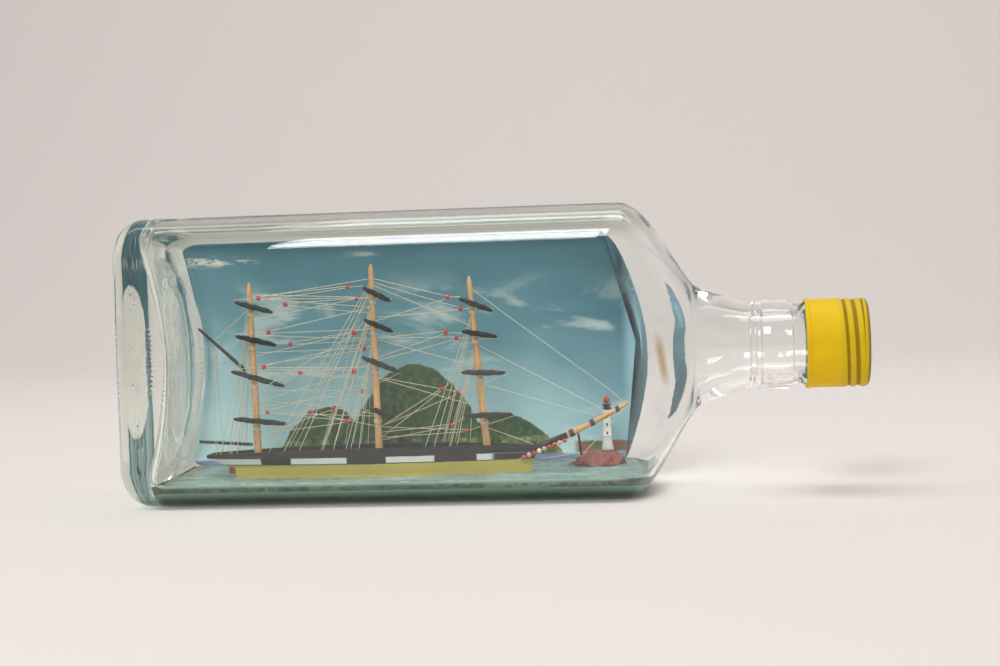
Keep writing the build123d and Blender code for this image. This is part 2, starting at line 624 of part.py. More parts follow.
def bowsprit_bore():
    heel, end = at(*BOWSPRIT_HEEL), at(*BOWSPRIT_END)
    start = heel - (end - heel).normalized() * FIT
    return extrude(Plane(origin=start, z_dir=end - heel) * Circle(SPRIT_RADIUS + FIT), (end - heel).length)


def jibboom_line():
    end = at(*BOWSPRIT_END)
    tip = at(*JIBBOOM_TIP)
    unit = (tip - end).normalized()
    return end + unit * JIBBOOM_GAP, tip


def jibboom_at(share):
    heel, tip = jibboom_line()
    radius = JIBBOOM_RADIUS + (JIBBOOM_END_RADIUS - JIBBOOM_RADIUS) * share
    return heel + (tip - heel) * share, radius


def make_bands():
    """Black bands round the jibboom."""
    heel, tip = jibboom_line()
    length = (tip - heel).normalized() * BAND_LENGTH
    bands = []
    for share in BAND_SHARES:
        centre, radius = jibboom_at(share)
        inner = radius + FIT
        outer = inner + BAND_WALL
        bands.append(sleeve(centre, centre + length, [(0, outer), (1, outer)], inner, MAST_SIDES))
    return bands


def make_rudder():
    """A flat blade behind the sternpost, under the counter."""
    hinge = at(COUNTER_ALONG - COUNTER_RAKE, 0)
    height = RUDDER_HEIGHT * HEIGHT_FIT
    shift = Vector(-RUDDER_LENGTH / 2 - SEAT_GAP, 0, height / 2 + SKIN_GAP)
    return Pos(hinge + shift) * Box(RUDDER_LENGTH, RUDDER_THICKNESS, height)


def make_sea():
    """Putty pressed along the lower wall, with a pocket for the hull."""
    start = INNER_X + SEA_END_GAP
    form = bottle_form(start, WALL + SKIN_GAP, INNER_HEEL_RADIUS)
    top = SEA_Z
    keep = Pos(BASE_X + SHOULDER_X / 2, 0, top / 2) * Box(SHOULDER_X + SHOULDER_LENGTH, BODY_WIDTH, top)
    floor = -HULL_DRAFT / HEIGHT_FIT
    pocket = hull_outline(COUNTER_ALONG, STEM_ALONG, KEEL_HALF_BEAM, floor, HULL_SIDE_GAP)
    bed = extrude(pocket, HULL_DRAFT + OVERLAP, dir=(0, 0, 1))
    return (form & keep) - bed - base_swell(SKIN_GAP)


def make_backdrop():
    """A skin of paint on the inside of the back wall, up its two corners and into the shoulder."""
    start = INNER_X + SKIN_GAP
    gap = WALL + SKIN_GAP
    within = gap + PAINT_THICKNESS
    outer = bottle_form(start, gap, INNER_HEEL_RADIUS)
    skin = outer - bottle_form(start + PAINT_THICKNESS, within, INNER_HEEL_RADIUS - PAINT_THICKNESS)
    low = SEA_Z + SKIN_GAP
    high = BODY_HEIGHT - WALL - PAINT_TOP_GAP
    left = BASE_X + start + PAINT_THICKNESS
    shoulder = BASE_X + SHOULDER_X
    front = BODY_WIDTH / 2 - BODY_CORNER - WALL
    top = Vector(shoulder + PAINT_END_TOP, front, high)
    middle = Vector(shoulder + PAINT_END_MIDDLE, front, AXIS_Z - PAINT_END_DROP)
    bottom = Vector(shoulder + PAINT_END_LOW, front, low)
    rounded_end = ThreePointArc(bottom, middle, top)
    straight = Polyline(top, (left, front, high), (left, front, low), bottom)
    painted = extrude(make_face(Wire([rounded_end, *straight.edges()])), BODY_WIDTH, dir=(0, 1, 0))
    return (skin & painted) - base_swell(SKIN_GAP)


def make_rock():
    """A low mound behind the bow."""
    base = at(ROCK_ALONG, 0, ROCK_SIDE) + Vector(0, 0, SKIN_GAP)
    sections = []
    for share, size in ROCK_LEVELS:
        place = Pos(base + Vector(ROCK_LEAN * share, 0, ROCK_HEIGHT * share))
        sections.append(place * Ellipse(ROCK_HALF_LENGTH * size, ROCK_HALF_DEPTH * size))
    return loft(sections, ruled=True)


def make_lighthouse():
    """The tower, its gallery and its lamp, one standing on the other."""
    foot = at(TOWER_ALONG, 0, ROCK_SIDE) + Vector(0, 0, ROCK_HEIGHT + 2 * SKIN_GAP)
    up = Vector(0, 0, 1)
    tower = turned([
        (0, 0), (0, TOWER_FOOT_RADIUS), (TOWER_HOLLOW * TOWER_HEIGHT, TOWER_HOLLOW_RADIUS),
        (2 * TOWER_HOLLOW * TOWER_HEIGHT, TOWER_RADIUS), (TOWER_HEIGHT, TOWER_RADIUS), (TOWER_HEIGHT, 0),
    ], foot, up)
    floor = foot + up * (TOWER_HEIGHT + SKIN_GAP)
    room = GALLERY_RADIUS - GALLERY_LEDGE
    eaves = GALLERY_RADIUS - 0.4 * GALLERY_LEDGE
    under_roof = GALLERY_HEIGHT - GALLERY_ROOF
    gallery = turned([
        (0, 0), (0, room), (GALLERY_FLOOR - GALLERY_ROOF, GALLERY_RADIUS), (GALLERY_FLOOR, GALLERY_RADIUS),
        (GALLERY_FLOOR, room), (under_roof, room), (under_roof, eaves), (GALLERY_HEIGHT, eaves),
        (GALLERY_HEIGHT, 0),
    ], floor, up)
    lamp = Pos(floor + up * (GALLERY_HEIGHT + LAMP_RADIUS + SKIN_GAP)) * Sphere(LAMP_RADIUS)
    return tower, gallery, lamp


def rail_point(along, side):
    """A point on the inner edge of the bulwark's top, found on the hull's curved side."""
    share = along / BOW_ALONG
    points = (TRANSOM_SHARE, AFT_SHARE, FORE_SHARE, STEM_HALF / HALF_BEAM)
    low, high = 0.0, 1.0
    while high - low > 1e-6:
        t = 0.5 * (low + high)
        x = 3 * t * (1 - t) ** 2 * SIDE_AFT + 3 * t ** 2 * (1 - t) * SIDE_FORE + t ** 3
        low, high = (t, high) if x < share else (low, t)
    weights = ((1 - t) ** 3, 3 * t * (1 - t) ** 2, 3 * t ** 2 * (1 - t), t ** 3)
    y = sum(w * p for w, p in zip(weights, points))
    half = HALF_BEAM * y - BULWARK_WALL / 2
    return at(along, sheer_at(along), side * half) + Vector(0, 0, THREAD_RADIUS + THREAD_GAP)


def make_shrouds(name):
    """Shrouds from the mast down to both rails."""
    threads = []
    for up, feet in SHROUDS[name]:
        for side in (-1, 1):
            for foot in feet:
                places = []
                for slip in slips():
                    for step in range(-FOOT_STEPS, FOOT_STEPS + 1):
                        rail = rail_point(foot + step * SLIP_STEP, side)
                        places.append((rail, tie_point(name, up + slip, side, -1, SHROUD_SIDE)))
                threads.append(strand(*lay(places)))
    return threads


def make_mast_stays():
    """Single stays that lead from one mast to the next."""
    threads = []
    for index, (low, low_up, high, high_up) in enumerate(MAST_STAYS):
        forward = 1 if MASTS[low][0] < MASTS[high][0] else -1
        side = -1 if index % 2 else 1
        start = tie_point(low, low_up, side, forward)
        places = [(start, tie_point(high, high_up + slip, side, -forward)) for slip in slips()]
        threads.append(strand(*lay(places)))
    return threads


def make_head_stays():
    """Stays from the fore mast to the jibboom, and one to the bow."""
    ends = []
    for up, share in HEAD_STAYS:
        point, radius = jibboom_at(share)
        ends.append((up, point + Vector(0, 0, radius + THREAD_RADIUS + THREAD_GAP)))
    height, foot = BOW_STAY
    ends.append((height, at(foot, sheer_at(foot)) + Vector(0, 0, THREAD_RADIUS + THREAD_GAP)))
    threads = []
    for up, end in ends:
        threads.append(strand(*lay([(tie_point("fore", up + slip, -1, 1), end) for slip in slips()])))
    return threads


def make_spanker():
    """The gaff and boom behind the mizzen mast, with the lines that hold the gaff."""
    heel, end = at(*GAFF_HEEL), at(*GAFF_END)
    gaff = stick(heel, end, [(0, GAFF_RADIUS), (1, 0.6 * GAFF_RADIUS)], YARD_SIDES)
    inner, outer = at(*BOOM_HEEL), at(*BOOM_END)
    boom = stick(inner, outer, [(0, BOOM_RADIUS), (0.7, BOOM_RADIUS), (1, 0.6 * BOOM_RADIUS)], YARD_SIDES)
    hold = heel + (end - heel) * VANG_SHARE
    drop = Vector(0, 0, GAFF_RADIUS + THREAD_RADIUS + THREAD_GAP)
    note(heel, end, GAFF_RADIUS)
    note(inner, outer, BOOM_RADIUS)
    lines = []
    for side in (-1, 1):
        spread = Vector(0, side * BELAY_SIDE, 0)
        lines.append(strand(*lay([(rail_point(VANG_FOOT, side), hold - drop + spread)])))
    places = [(hold + drop, tie_point("mizzen", GAFF_LIFT + slip, -1, -1)) for slip in slips()]
    lines.append(strand(*lay(places)))
    return gaff, boom, lines


def make_bow_gear():
    """The dolphin striker, its stays, and the string of beads along the bow."""
    point, radius = jibboom_at(STRIKER_SHARE)
    top = point - Vector(0, 0, radius + 3 * THREAD_GAP)
    foot = top + Vector(STRIKER_RAKE, 0, -STRIKER_LENGTH)
    striker = stick(top, foot, [(0, STRIKER_RADIUS), (1, STRIKER_RADIUS)], MAST_SIDES)
    tied = foot + Vector(0, 0, BOBSTAY_LIFT)
    tip, tip_radius = jibboom_at(BOBSTAY_SHARE)
    clear = THREAD_RADIUS + THREAD_GAP
    beside = Vector(STRIKER_RADIUS + clear, 0, 0)
    forestay = strand(tied + beside, tip - Vector(0, 0, tip_radius + 2 * clear))
    backstay = strand(tied - beside, at(BOW_ALONG, BOBSTAY_STEM) + Vector(BOBSTAY_STEM_GAP, 0, 0))
    start, end = at(*BOW_BEAD_START), at(*BOW_BEAD_END)
    beads = []
    for index in range(BOW_BEADS):
        beads.append(make_bead(start + (end - start) * ((index + 1) / (BOW_BEADS + 2)), end - start))
    return striker, [forestay, backstay], strand(start, end), beads


def save(name, shapes):
    """Write one node: a single solid, or several separate ones."""
    if isinstance(shapes, (list, tuple)):
        solids = [solid for shape in shapes for solid in shape.solids()]
    else:
        solids = shapes.solids()
    export_step(solids[0] if len(solids) == 1 else Compound(children=solids), f"parts/{name}.step")


def put_in_place():
    """Note the yards and the wound thread, which every line keeps clear of."""
    for name in MASTS:
        for yard in YARDS[name]:
            near, far = yard_line(name, yard)
            half = far - near
            note(near + half * 0.12, far - half * 0.12, YARD_RADIUS)
            centre, radius = mast_at(name, yard[0] - WRAP_DROP)
            lift = Vector(0, 0, WRAP_LENGTH / 2)
            note(centre - lift, centre + lift, radius + WRAP_THICKNESS + FIT)


def main():
    os.makedirs("parts", exist_ok=True)
    save("bottle", make_bottle())
    save("screw_cap", make_cap())
    save("cap_liner", make_liner())
    save("sea", make_sea())
    save("painted_backdrop", make_backdrop())
    save("headland_rock", make_rock())
    tower, gallery, lamp = make_lighthouse()
    save("lighthouse_tower", tower)
    save("lighthouse_gallery", gallery)
    save("lighthouse_lamp", lamp)
    save("hull", make_hull())
    save("bulwark", make_bulwark())
    save("rudder", make_rudder())
    heel, end = at(*BOWSPRIT_HEEL), at(*BOWSPRIT_END)
    save("bowsprit", stick(heel, end, [(0, SPRIT_RADIUS), (1, SPRIT_RADIUS)], MAST_SIDES))
    profile = [(0, JIBBOOM_RADIUS), (0.97, JIBBOOM_END_RADIUS), (1, 0.5 * JIBBOOM_END_RADIUS)]
    save("jibboom", stick(*jibboom_line(), profile, MAST_SIDES))
    save("bowsprit_bands", make_bands())
    for name in MASTS:
        save(f"{name}_mast", make_mast(name))
        for index, yard in enumerate(YARDS[name]):
            save(f"{name}_yard_{index + 1}", make_yard(name, yard))
    save("mast_staples", [make_staple(name) for name in MASTS])
    heights = [(name, yard[0] - WRAP_DROP) for name in MASTS for yard in YARDS[name]]
    save("mast_wraps", [ring_round_mast(name, height) for name, height in heights])
    put_in_place()
    gaff, boom, lines = make_spanker()
    save("spanker_gaff", gaff)
    save("spanker_boom", boom)
    save("gaff_lines", lines)
    save("head_stays", make_head_stays())
    for name in MASTS:
        threads, beads = [], []
        for index in range(len(YARDS[name])):
            for arm in (0, 1):
                lines, bead = make_brace(name, index, arm)
                threads += lines
                beads.append(bead)
        save(f"{name}_braces", threads)
        save(f"{name}_beads", beads)
    save("mast_stays", make_mast_stays())
    for name in MASTS:
        save(f"{name}_shrouds", make_shrouds(name))
    striker, bobstays, bead_line, beads = make_bow_gear()
    save("dolphin_striker", striker)
    save("bobstays", bobstays)
    save("bow_bead_line", bead_line)
    save("bow_beads", beads)


main()
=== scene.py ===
import math

import bpy
import numpy as np
from mathutils import Matrix, Vector


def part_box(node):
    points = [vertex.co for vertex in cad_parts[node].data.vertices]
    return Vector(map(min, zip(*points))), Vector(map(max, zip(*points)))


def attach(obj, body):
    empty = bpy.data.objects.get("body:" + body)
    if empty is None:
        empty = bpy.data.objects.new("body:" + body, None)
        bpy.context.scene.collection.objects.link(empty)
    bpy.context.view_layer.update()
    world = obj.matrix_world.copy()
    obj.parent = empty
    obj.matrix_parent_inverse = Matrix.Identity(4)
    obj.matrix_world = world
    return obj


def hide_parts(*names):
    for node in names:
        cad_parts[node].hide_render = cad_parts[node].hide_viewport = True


# A ship in a bottle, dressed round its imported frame. Lengths are millimetres until a mesh is
# written; +X runs from the bottle's base to its cap, +Y to the painted back wall, +Z up.

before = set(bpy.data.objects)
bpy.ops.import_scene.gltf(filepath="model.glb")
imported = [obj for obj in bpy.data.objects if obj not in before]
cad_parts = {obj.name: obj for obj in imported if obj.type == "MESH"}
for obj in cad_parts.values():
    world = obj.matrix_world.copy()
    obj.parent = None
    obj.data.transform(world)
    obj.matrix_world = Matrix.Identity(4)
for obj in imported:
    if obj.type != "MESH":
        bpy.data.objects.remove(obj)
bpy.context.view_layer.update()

MM = 0.001
RNG = np.random.default_rng(7)

# ---- sizes read from the frame
BOTTLE_LOW, BOTTLE_HIGH = (np.array(corner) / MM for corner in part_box("bottle"))
CAP_LOW, CAP_HIGH = (np.array(corner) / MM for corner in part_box("screw_cap"))
SEA_LOW, SEA_HIGH = (np.array(corner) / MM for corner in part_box("sea"))
PAINT_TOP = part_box("painted_backdrop")[1][2] / MM
BASE_X = BOTTLE_LOW[0]
MOUTH_X = BOTTLE_HIGH[0]
HALF_WIDTH = (BOTTLE_HIGH[1] - BOTTLE_LOW[1]) / 2
HALF_HEIGHT = (BOTTLE_HIGH[2] - BOTTLE_LOW[2]) / 2
AXIS_Z = (BOTTLE_HIGH[2] + BOTTLE_LOW[2]) / 2
SEA_Z = SEA_HIGH[2]
TOWER = sum(np.array(corner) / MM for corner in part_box("lighthouse_tower")) / 2
TOWER[2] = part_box("lighthouse_tower")[0][2] / MM

# ---- the glass, as the frame has it
BODY_LENGTH = 172.5
BODY_CORNER = 15.0
HEEL = 10.0
WALL = 3.0
WETTING = 0.06  # how far putty and paint run into the glass that they stick to
BASE_THICKNESS = 9.5
INNER_HEEL = 7.0
SWELL = 8.0  # how far the base swells inward in the middle of its height
SWELL_HALF = 41.0
DISH = 4.0  # depth of the oval push-up under the base
OVAL = (20.0, 37.5, 19.6)  # its half width, half height and corner
ISLAND = (27.0, 32.0, 1.2)  # the round island inside the base: half width, half height and rise
PAINT_END = 10.5  # how far the paint reaches into the shoulder
SHOULDER = 25.0
SHOULDER_POWER = 1.3
NECK_ROUND = 0.985
THICK = (BODY_LENGTH - 11.0, BODY_LENGTH + 24.5, 2.8)  # where the shoulder's glass is thicker, and how much
TAPER_RADIUS = 20.4
THREAD_PITCH = 3.2
FINISH_RADIUS = 13.2
BORE_RADIUS = 10.8
LIP = [(-0.9, 0.1), (-0.5, 0.4), (0.0, 0.8), (0.0, 2.0)]  # from the mouth, and in from the finish
TAPER_X = BODY_LENGTH + SHOULDER
COLLAR_X = TAPER_X + 21.5
FINISH = (15.5, 31.9)  # the threaded finish, from the start of the collar
GLASS_THREAD = (19.5, 0.75, 0.26, -0.4, 1.6)  # first turn's place, height, half width, and turns it runs
# The neck's outline as (distance from the start of the collar, radius).
NECK = [
    (-16.8, 18.36), (-10.75, 16.4), (-6.5, 14.9), (-4.5, 14.4), (-3.3, 14.4), (-2.8, 14.9), (-1.4, 14.9),
    (-0.9, 14.4), (-0.5, 14.4), (-0.2, 14.9), (0.4, 15.1), (9.3, 15.1), (10.0, 14.8), (10.2, 14.3),
    (10.3, 13.85), (14.5, 13.85), (15.15, 13.2),
]
# The bore in the same way, from the mouth's end of the collar back to the shoulder.
BORE = [(-1.4, BORE_RADIUS), (-6.0, 11.4), (-10.75, 12.45), (-16.0, 14.8)]

# ---- the cap, from its rim
CAP_RADIUS = 15.0
CAP_METAL = 0.62
CAP_CEILING = 0.7
CAP_INSIDE = 14.3
CAP_BEND = 1.8  # round edge at the closed end
CAP_GROOVE = (11.7, 0.6, 2.3)  # first turn's place, depth, and turns it runs
CAP_RIM = [(0.0, 14.75), (0.05, 15.0), (0.3, 15.25), (1.3, 15.25), (1.55, 15.05)]
CAP_DISC = np.array([10.0, 5.0, 0.3])  # rings across the closed end

# ---- paint; places are along x and over the sea
HILLS = [(-33.0, 30.0, 37.0), (-66.0, 21.0, 22.0), (-1.0, 24.0, 17.5)]  # middle, half width, height
HOUSES = [  # middle, foot, half width, height
    (-57.0, 12.0, 1.5, 1.9), (-52.5, 11.4, 1.2, 1.6), (-25.0, 12.6, 1.6, 2.0), (-20.3, 11.8, 1.2, 1.6),
    (-3.0, 12.2, 1.5, 1.9),
]
SKY = [(0.0, (192, 222, 224)), (0.26, (158, 198, 204)), (0.52, (102, 150, 162)), (0.8, (76, 124, 138)),
       (1.0, (60, 106, 118))]
WOODS = [(0.3, (20, 44, 26)), (0.5, (44, 82, 42)), (0.62, (70, 106, 56)), (0.78, (126, 150, 96))]
MEADOW = [(0.35, (60, 96, 50)), (0.55, (120, 140, 78)), (0.7, (176, 160, 110))]
ROCK = [(0.3, (84, 40, 34)), (0.5, (140, 74, 58)), (0.62, (168, 98, 80)), (0.75, (70, 96, 60))]
PORTS = [(-81.4, -70.4), (-50.6, -37.0), (-20.2, -6.0)]  # white lengths of the hull, on both sides
WINDOWS = (5.6, 8.6, 11.4)  # over the tower's foot
GRAIN_DEPTH = 0.05

# ---- ship and rigging
PLY = (0.145, 0.1)  # a thread's ring: high and low corners
PLY_RUN = 0.7  # along the thread between two rings
THREAD_END = 0.33  # how far a thread runs into what it is tied to
BEAD = (0.85, 0.36, 0.66)  # outer radius, the round of its edge, and half its length
MAST = (1.34, 0.9, 0.88)  # radius at the foot, under the point and at the point's start
YARD = (0.34, 0.62)  # radius of a furled sail at its ends, and how much more in the middle
TIE_PITCH = 2.4
WRAP = (5, 0.55, 0.17)  # turns round the mast, half height and thread radius

# ==== meshes
def placed(name, data):
    """A new object in the scene."""
    made = bpy.data.objects.new(name, data)
    bpy.context.scene.collection.objects.link(made)
    return made


class Shells:
    """Closed shells, each a stack of rings, gathered into one piece."""

    def __init__(self):
        self.points, self.quads, self.fans, self.shades, self.count = [], [], [], [], 0

    def add(self, rows, shade=0.0, looped=False):
        """rows is rings by places around by three, and shade one number for the whole shell.

        A fan shuts both ends, or the last ring joins the first where the stack is looped.
        """
        rings, around = rows.shape[:2]
        step = np.arange(rings if looped else rings - 1)[:, None]
        here, after = np.arange(around), (np.arange(around) + 1) % around
        this, following = step * around, (step + 1) % rings * around
        quads = np.stack([this + here, this + after, following + after, following + here], -1)
        self.quads.append(quads.reshape(-1, 4) + self.count)
        self.points.append(rows.reshape(-1, 3))
        if not looped:
            start, last = rings * around, (rings - 1) * around
            fans = [np.stack([after, here, np.full(around, start)], -1),
                    np.stack([last + here, last + after, np.full(around, start + 1)], -1)]
            self.fans.append(np.concatenate(fans) + self.count)
            self.points += [rows[0].mean(0)[None], rows[-1].mean(0)[None]]
        added = rings * around + (0 if looped else 2)
        self.shades.append(np.full(added, shade))
        self.count += added
        return self

    def piece(self, name, slot, *replaces, body="bottle"):
        """One smooth mesh; its faces turn if its volume, a sum of triple products, is negative."""
        points = np.concatenate(self.points)
        faces = [np.concatenate(kind) for kind in (self.quads, self.fans) if kind]
        triangles = np.concatenate([f[:, [0, k, k + 1]] for f in faces for k in range(1, f.shape[1] - 1)])
        p, q, r = (points[triangles[:, k]] for k in range(3))
        if np.einsum("ij,ij->", p, np.cross(q, r)) < 0:
            faces = [f[:, ::-1] for f in faces]
        counts = np.concatenate([np.full(len(f), f.shape[1]) for f in faces])
        corners = np.concatenate([f.ravel() for f in faces]).astype(np.int32)
        mesh = bpy.data.meshes.new(name)
        mesh.vertices.add(len(points))
        mesh.vertices.foreach_set("co", (points * MM).ravel())
        mesh.loops.add(len(corners))
        mesh.loops.foreach_set("vertex_index", corners)
        mesh.polygons.add(len(counts))
        starts = np.concatenate([[0], np.cumsum(counts)[:-1]])
        mesh.polygons.foreach_set("loop_start", starts.astype(np.int32))
        mesh.update(calc_edges=True)
        mesh.polygons.foreach_set("use_smooth", np.ones(len(counts), bool))
        shades = np.concatenate(self.shades).astype(np.float32)
        mesh.attributes.new("shade", "FLOAT", "POINT").data.foreach_set("value", shades)
        mesh.materials.append(FINISHES[slot])
        piece = placed(name, mesh)
        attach(piece, body)
        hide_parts(*replaces)


def unit(v):
    return v / np.linalg.norm(v, axis=-1, keepdims=True)


def square_to(direction):
    """Two unit vectors square to a direction and to each other."""
    helper = np.array([0.0, 0.0, 1.0]) if abs(direction[2]) < 0.9 else np.array([1.0, 0.0, 0.0])
    first = unit(np.cross(helper, direction))
    return first, np.cross(direction, first)


def full_turn(places):
    return np.linspace(0, 2 * math.pi, places, endpoint=False)


def circle(direction, angle):
    """Places of a unit circle square to a direction, at each angle."""
    u, v = square_to(direction)
    return np.cos(angle)[..., None] * u + np.sin(angle)[..., None] * v


def lathe(start, end, shares, radii, around=24, shape=None):
    """A round stick: circles of the given radii, times shape(share, angle), at shares of its length."""
    run = end - start
    angle = full_turn(around)
    shares = np.asarray(shares, float)[:, None]
    radius = np.asarray(radii, float)[:, None] * np.ones_like(angle)
    if shape is not None:
        radius = radius * shape(shares, angle)
    return start + shares[..., None] * run + radius[..., None] * circle(unit(run), angle)


def tube(path, radius, around, side):
    """A tube along a path: rings square to it, turned by the given sides."""
    tangent = unit(np.gradient(path, axis=0))
    first = unit(side - tangent * np.einsum("ij,ij->i", side, tangent)[:, None])
    second = np.cross(tangent, first)
    angle = full_turn(around)[:, None]
    return path[:, None] + radius * (np.cos(angle) * first[:, None] + np.sin(angle) * second[:, None])


def smooth_noise(length, seed, count=6, lowest=1.0):
    """A smooth random curve over length points: a sum of sines of rising count and random phase."""
    rng = np.random.default_rng(seed)
    t = np.linspace(0, 2 * math.pi, length)
    waves = [np.sin(lowest * k * t + rng.uniform(0, 6.3)) * rng.uniform(0.5, 1) / k ** 0.5
             for k in range(1, count + 1)]
    return np.sum(waves, 0) / count ** 0.5


def islands(node):
    """The separate solids of a node, each as its own distinct points in millimetres."""
    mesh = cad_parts[node].data
    mesh.calc_loop_triangles()
    points = np.empty(len(mesh.vertices) * 3, np.float32)
    mesh.vertices.foreach_get("co", points)
    corners = np.empty(len(mesh.loop_triangles) * 3, np.int32)
    mesh.loop_triangles.foreach_get("vertices", corners)
    points, same = np.unique(np.round(points.reshape(-1, 3) / MM, 3), axis=0, return_inverse=True)
    triangles = same.ravel()[corners].reshape(-1, 3)
    label = np.arange(len(points))
    while True:
        lowest = label[triangles].min(1)
        fresh = label.copy()
        np.minimum.at(fresh, triangles.ravel(), np.repeat(lowest, 3))
        if (fresh == label).all():
            break
        label = fresh
    return [points[label == one].astype(float) for one in np.unique(label)]


def ends(points):
    """The two ends of a long solid: the mean places of its points nearest and farthest along it."""
    middle = points.mean(0)
    direction = np.linalg.svd(points - middle, full_matrices=False)[2][0]
    along = (points - middle) @ direction
    near = points[along < along.min() + 0.35]
    far = points[along > along.max() - 0.35]
    return near.mean(0), far.mean(0)


def stick_ends(node, upward=True):
    """A node's two ends, the lower (or the one nearer the base) first."""
    first, last = ends(islands(node)[0])
    order = first[2] > last[2] if upward else first[0] > last[0]
    return (last, first) if order else (first, last)


# ==== materials
def as_light(colour):
    """A colour of three parts, as seen, 0 to 255, turned into the light it stands for."""
    if isinstance(colour, Signal) or len(colour) == 4:
        return colour
    seen = [part / 255 for part in colour]
    return (*(c / 12.92 if c <= 0.04045 else ((c + 0.055) / 1.055) ** 2.4 for c in seen), 1.0)


def operator(name, turned=False):
    """A method that adds one maths node; turned puts the other number first."""
    def method(self, *others):
        return self.math(name, self, first=others[0]) if turned else self.math(name, *others)
    return method


class Signal:
    """A number that varies over a surface; arithmetic on it adds nodes."""

    def __init__(self, paint, socket):
        self.paint, self.socket = paint, socket

    def math(self, operation, *others, first=None):
        values = dict(enumerate((self if first is None else first, *others)))
        return self.paint.node("ShaderNodeMath", {"operation": operation}, values)

    __add__ = __radd__ = operator("ADD")
    __sub__ = operator("SUBTRACT")
    __rsub__ = operator("SUBTRACT", turned=True)
    __mul__ = __rmul__ = operator("MULTIPLY")
    __truediv__ = operator("DIVIDE")
    __pow__ = operator("POWER")
    __lt__ = operator("LESS_THAN")
    __abs__ = operator("ABSOLUTE")


class Paint:
    """A procedural finish: places in millimetres, patterns, masks and one Principled shader."""

    def __init__(self, name, owner=None):
        self.material = owner or bpy.data.materials.new(name)
        self.material.use_nodes = True
        self.material.node_tree.nodes.clear()
        self.spot = None

    def node(self, kind, settings=None, values=None, out=0):
        made = self.material.node_tree.nodes.new(kind)
        for key, value in (settings or {}).items():
            if key == "stops":
                elements = made.color_ramp.elements
                elements[0].position, elements[0].color = value[0]
                elements[1].position, elements[1].color = value[-1]
                for place, colour in value[1:-1]:
                    elements.new(place).color = colour
            else:
                setattr(made, key, value)
        for key, value in (values or {}).items():
            if isinstance(value, Signal):
                self.material.node_tree.links.new(value.socket, made.inputs[key])
            else:
                made.inputs[key].default_value = value
        return Signal(self, made.outputs[out])

    def vector(self, operation, first, second):
        key = "Scale" if operation == "SCALE" else 1
        return self.node("ShaderNodeVectorMath", {"operation": operation}, {0: first, key: second})

    def place(self):
        """The place on the object in millimetres, as a vector."""
        if self.spot is None:
            self.spot = self.vector("SCALE", self.node("ShaderNodeTexCoord", out=3), 1 / MM)
        return self.spot

    def axes(self, vector=None):
        split = self.node("ShaderNodeSeparateXYZ", values={0: vector or self.place()})
        outputs = split.socket.node.outputs
        return [Signal(self, outputs[k]) for k in range(3)]

    def noise(self, size, detail=3.0, rough=0.5, stretch=(1, 1, 1), warp=0.0):
        """Cloudy noise from 0 to 1 whose blots are about size millimetres across."""
        values = {"Vector": self.vector("MULTIPLY", self.place(), stretch), "Scale": 1 / size,
                  "Detail": detail, "Roughness": rough, "Distortion": warp}
        return self.node("ShaderNodeTexNoise", None, values)

    def step(self, signal, low, high):
        """0 below low and 1 above high, eased between."""
        settings = {"interpolation_type": "SMOOTHSTEP"}
        return self.node("ShaderNodeMapRange", settings, {0: signal, 1: low, 2: high, 3: 0.0, 4: 1.0})

    def hump(self, x, middle, half, height):
        """A rounded hill: height where x is at the middle, falling to nothing at half to each side."""
        reach = (x - middle) / half
        return (1 - (reach * reach).math("MINIMUM", 1.0)) * height

    def band(self, signal, low, high, soft):
        """1 between low and high, with soft edges."""
        return self.step(signal, low - soft, low + soft) * (1 - self.step(signal, high - soft, high + soft))

    def mix(self, share, first, second):
        """A colour, first where share is 0 and second where it is 1."""
        values = {0: share, 6: as_light(first), 7: as_light(second)}
        return self.node("ShaderNodeMix", {"data_type": "RGBA"}, values, out=2)

    def ramp(self, signal, *stops):
        """A colour from stops of a place and a colour."""
        stops = [(place, as_light(colour)) for place, colour in stops]
        return self.node("ShaderNodeValToRGB", {"stops": stops}, {0: signal})

    def attribute(self, name):
        return self.node("ShaderNodeAttribute", {"attribute_name": name}, out=2)

    def bump(self, height, distance, under=None):
        """A normal from a height of 0 to 1 that stands for distance millimetres."""
        values = {"Height": height, "Distance": distance * MM, "Strength": 1.0}
        if under is not None:
            values["Normal"] = under
        return self.node("ShaderNodeBump", None, values)

    def finish(self, colour, roughness, normal=None, **constants):
        """The Principled shader; constants sit on its sockets."""
        values = {"Base Color": colour, "Roughness": roughness}
        values.update((key.replace("_", " "), value) for key, value in constants.items())
        if normal is not None:
            values["Normal"] = normal
        self.output(self.node("ShaderNodeBsdfPrincipled", None, values))
        return self.material

    def output(self, shader, kind="ShaderNodeOutputMaterial"):
        made = self.material.node_tree.nodes.new(kind)
        self.material.node_tree.links.new(shader.socket, made.inputs[0])


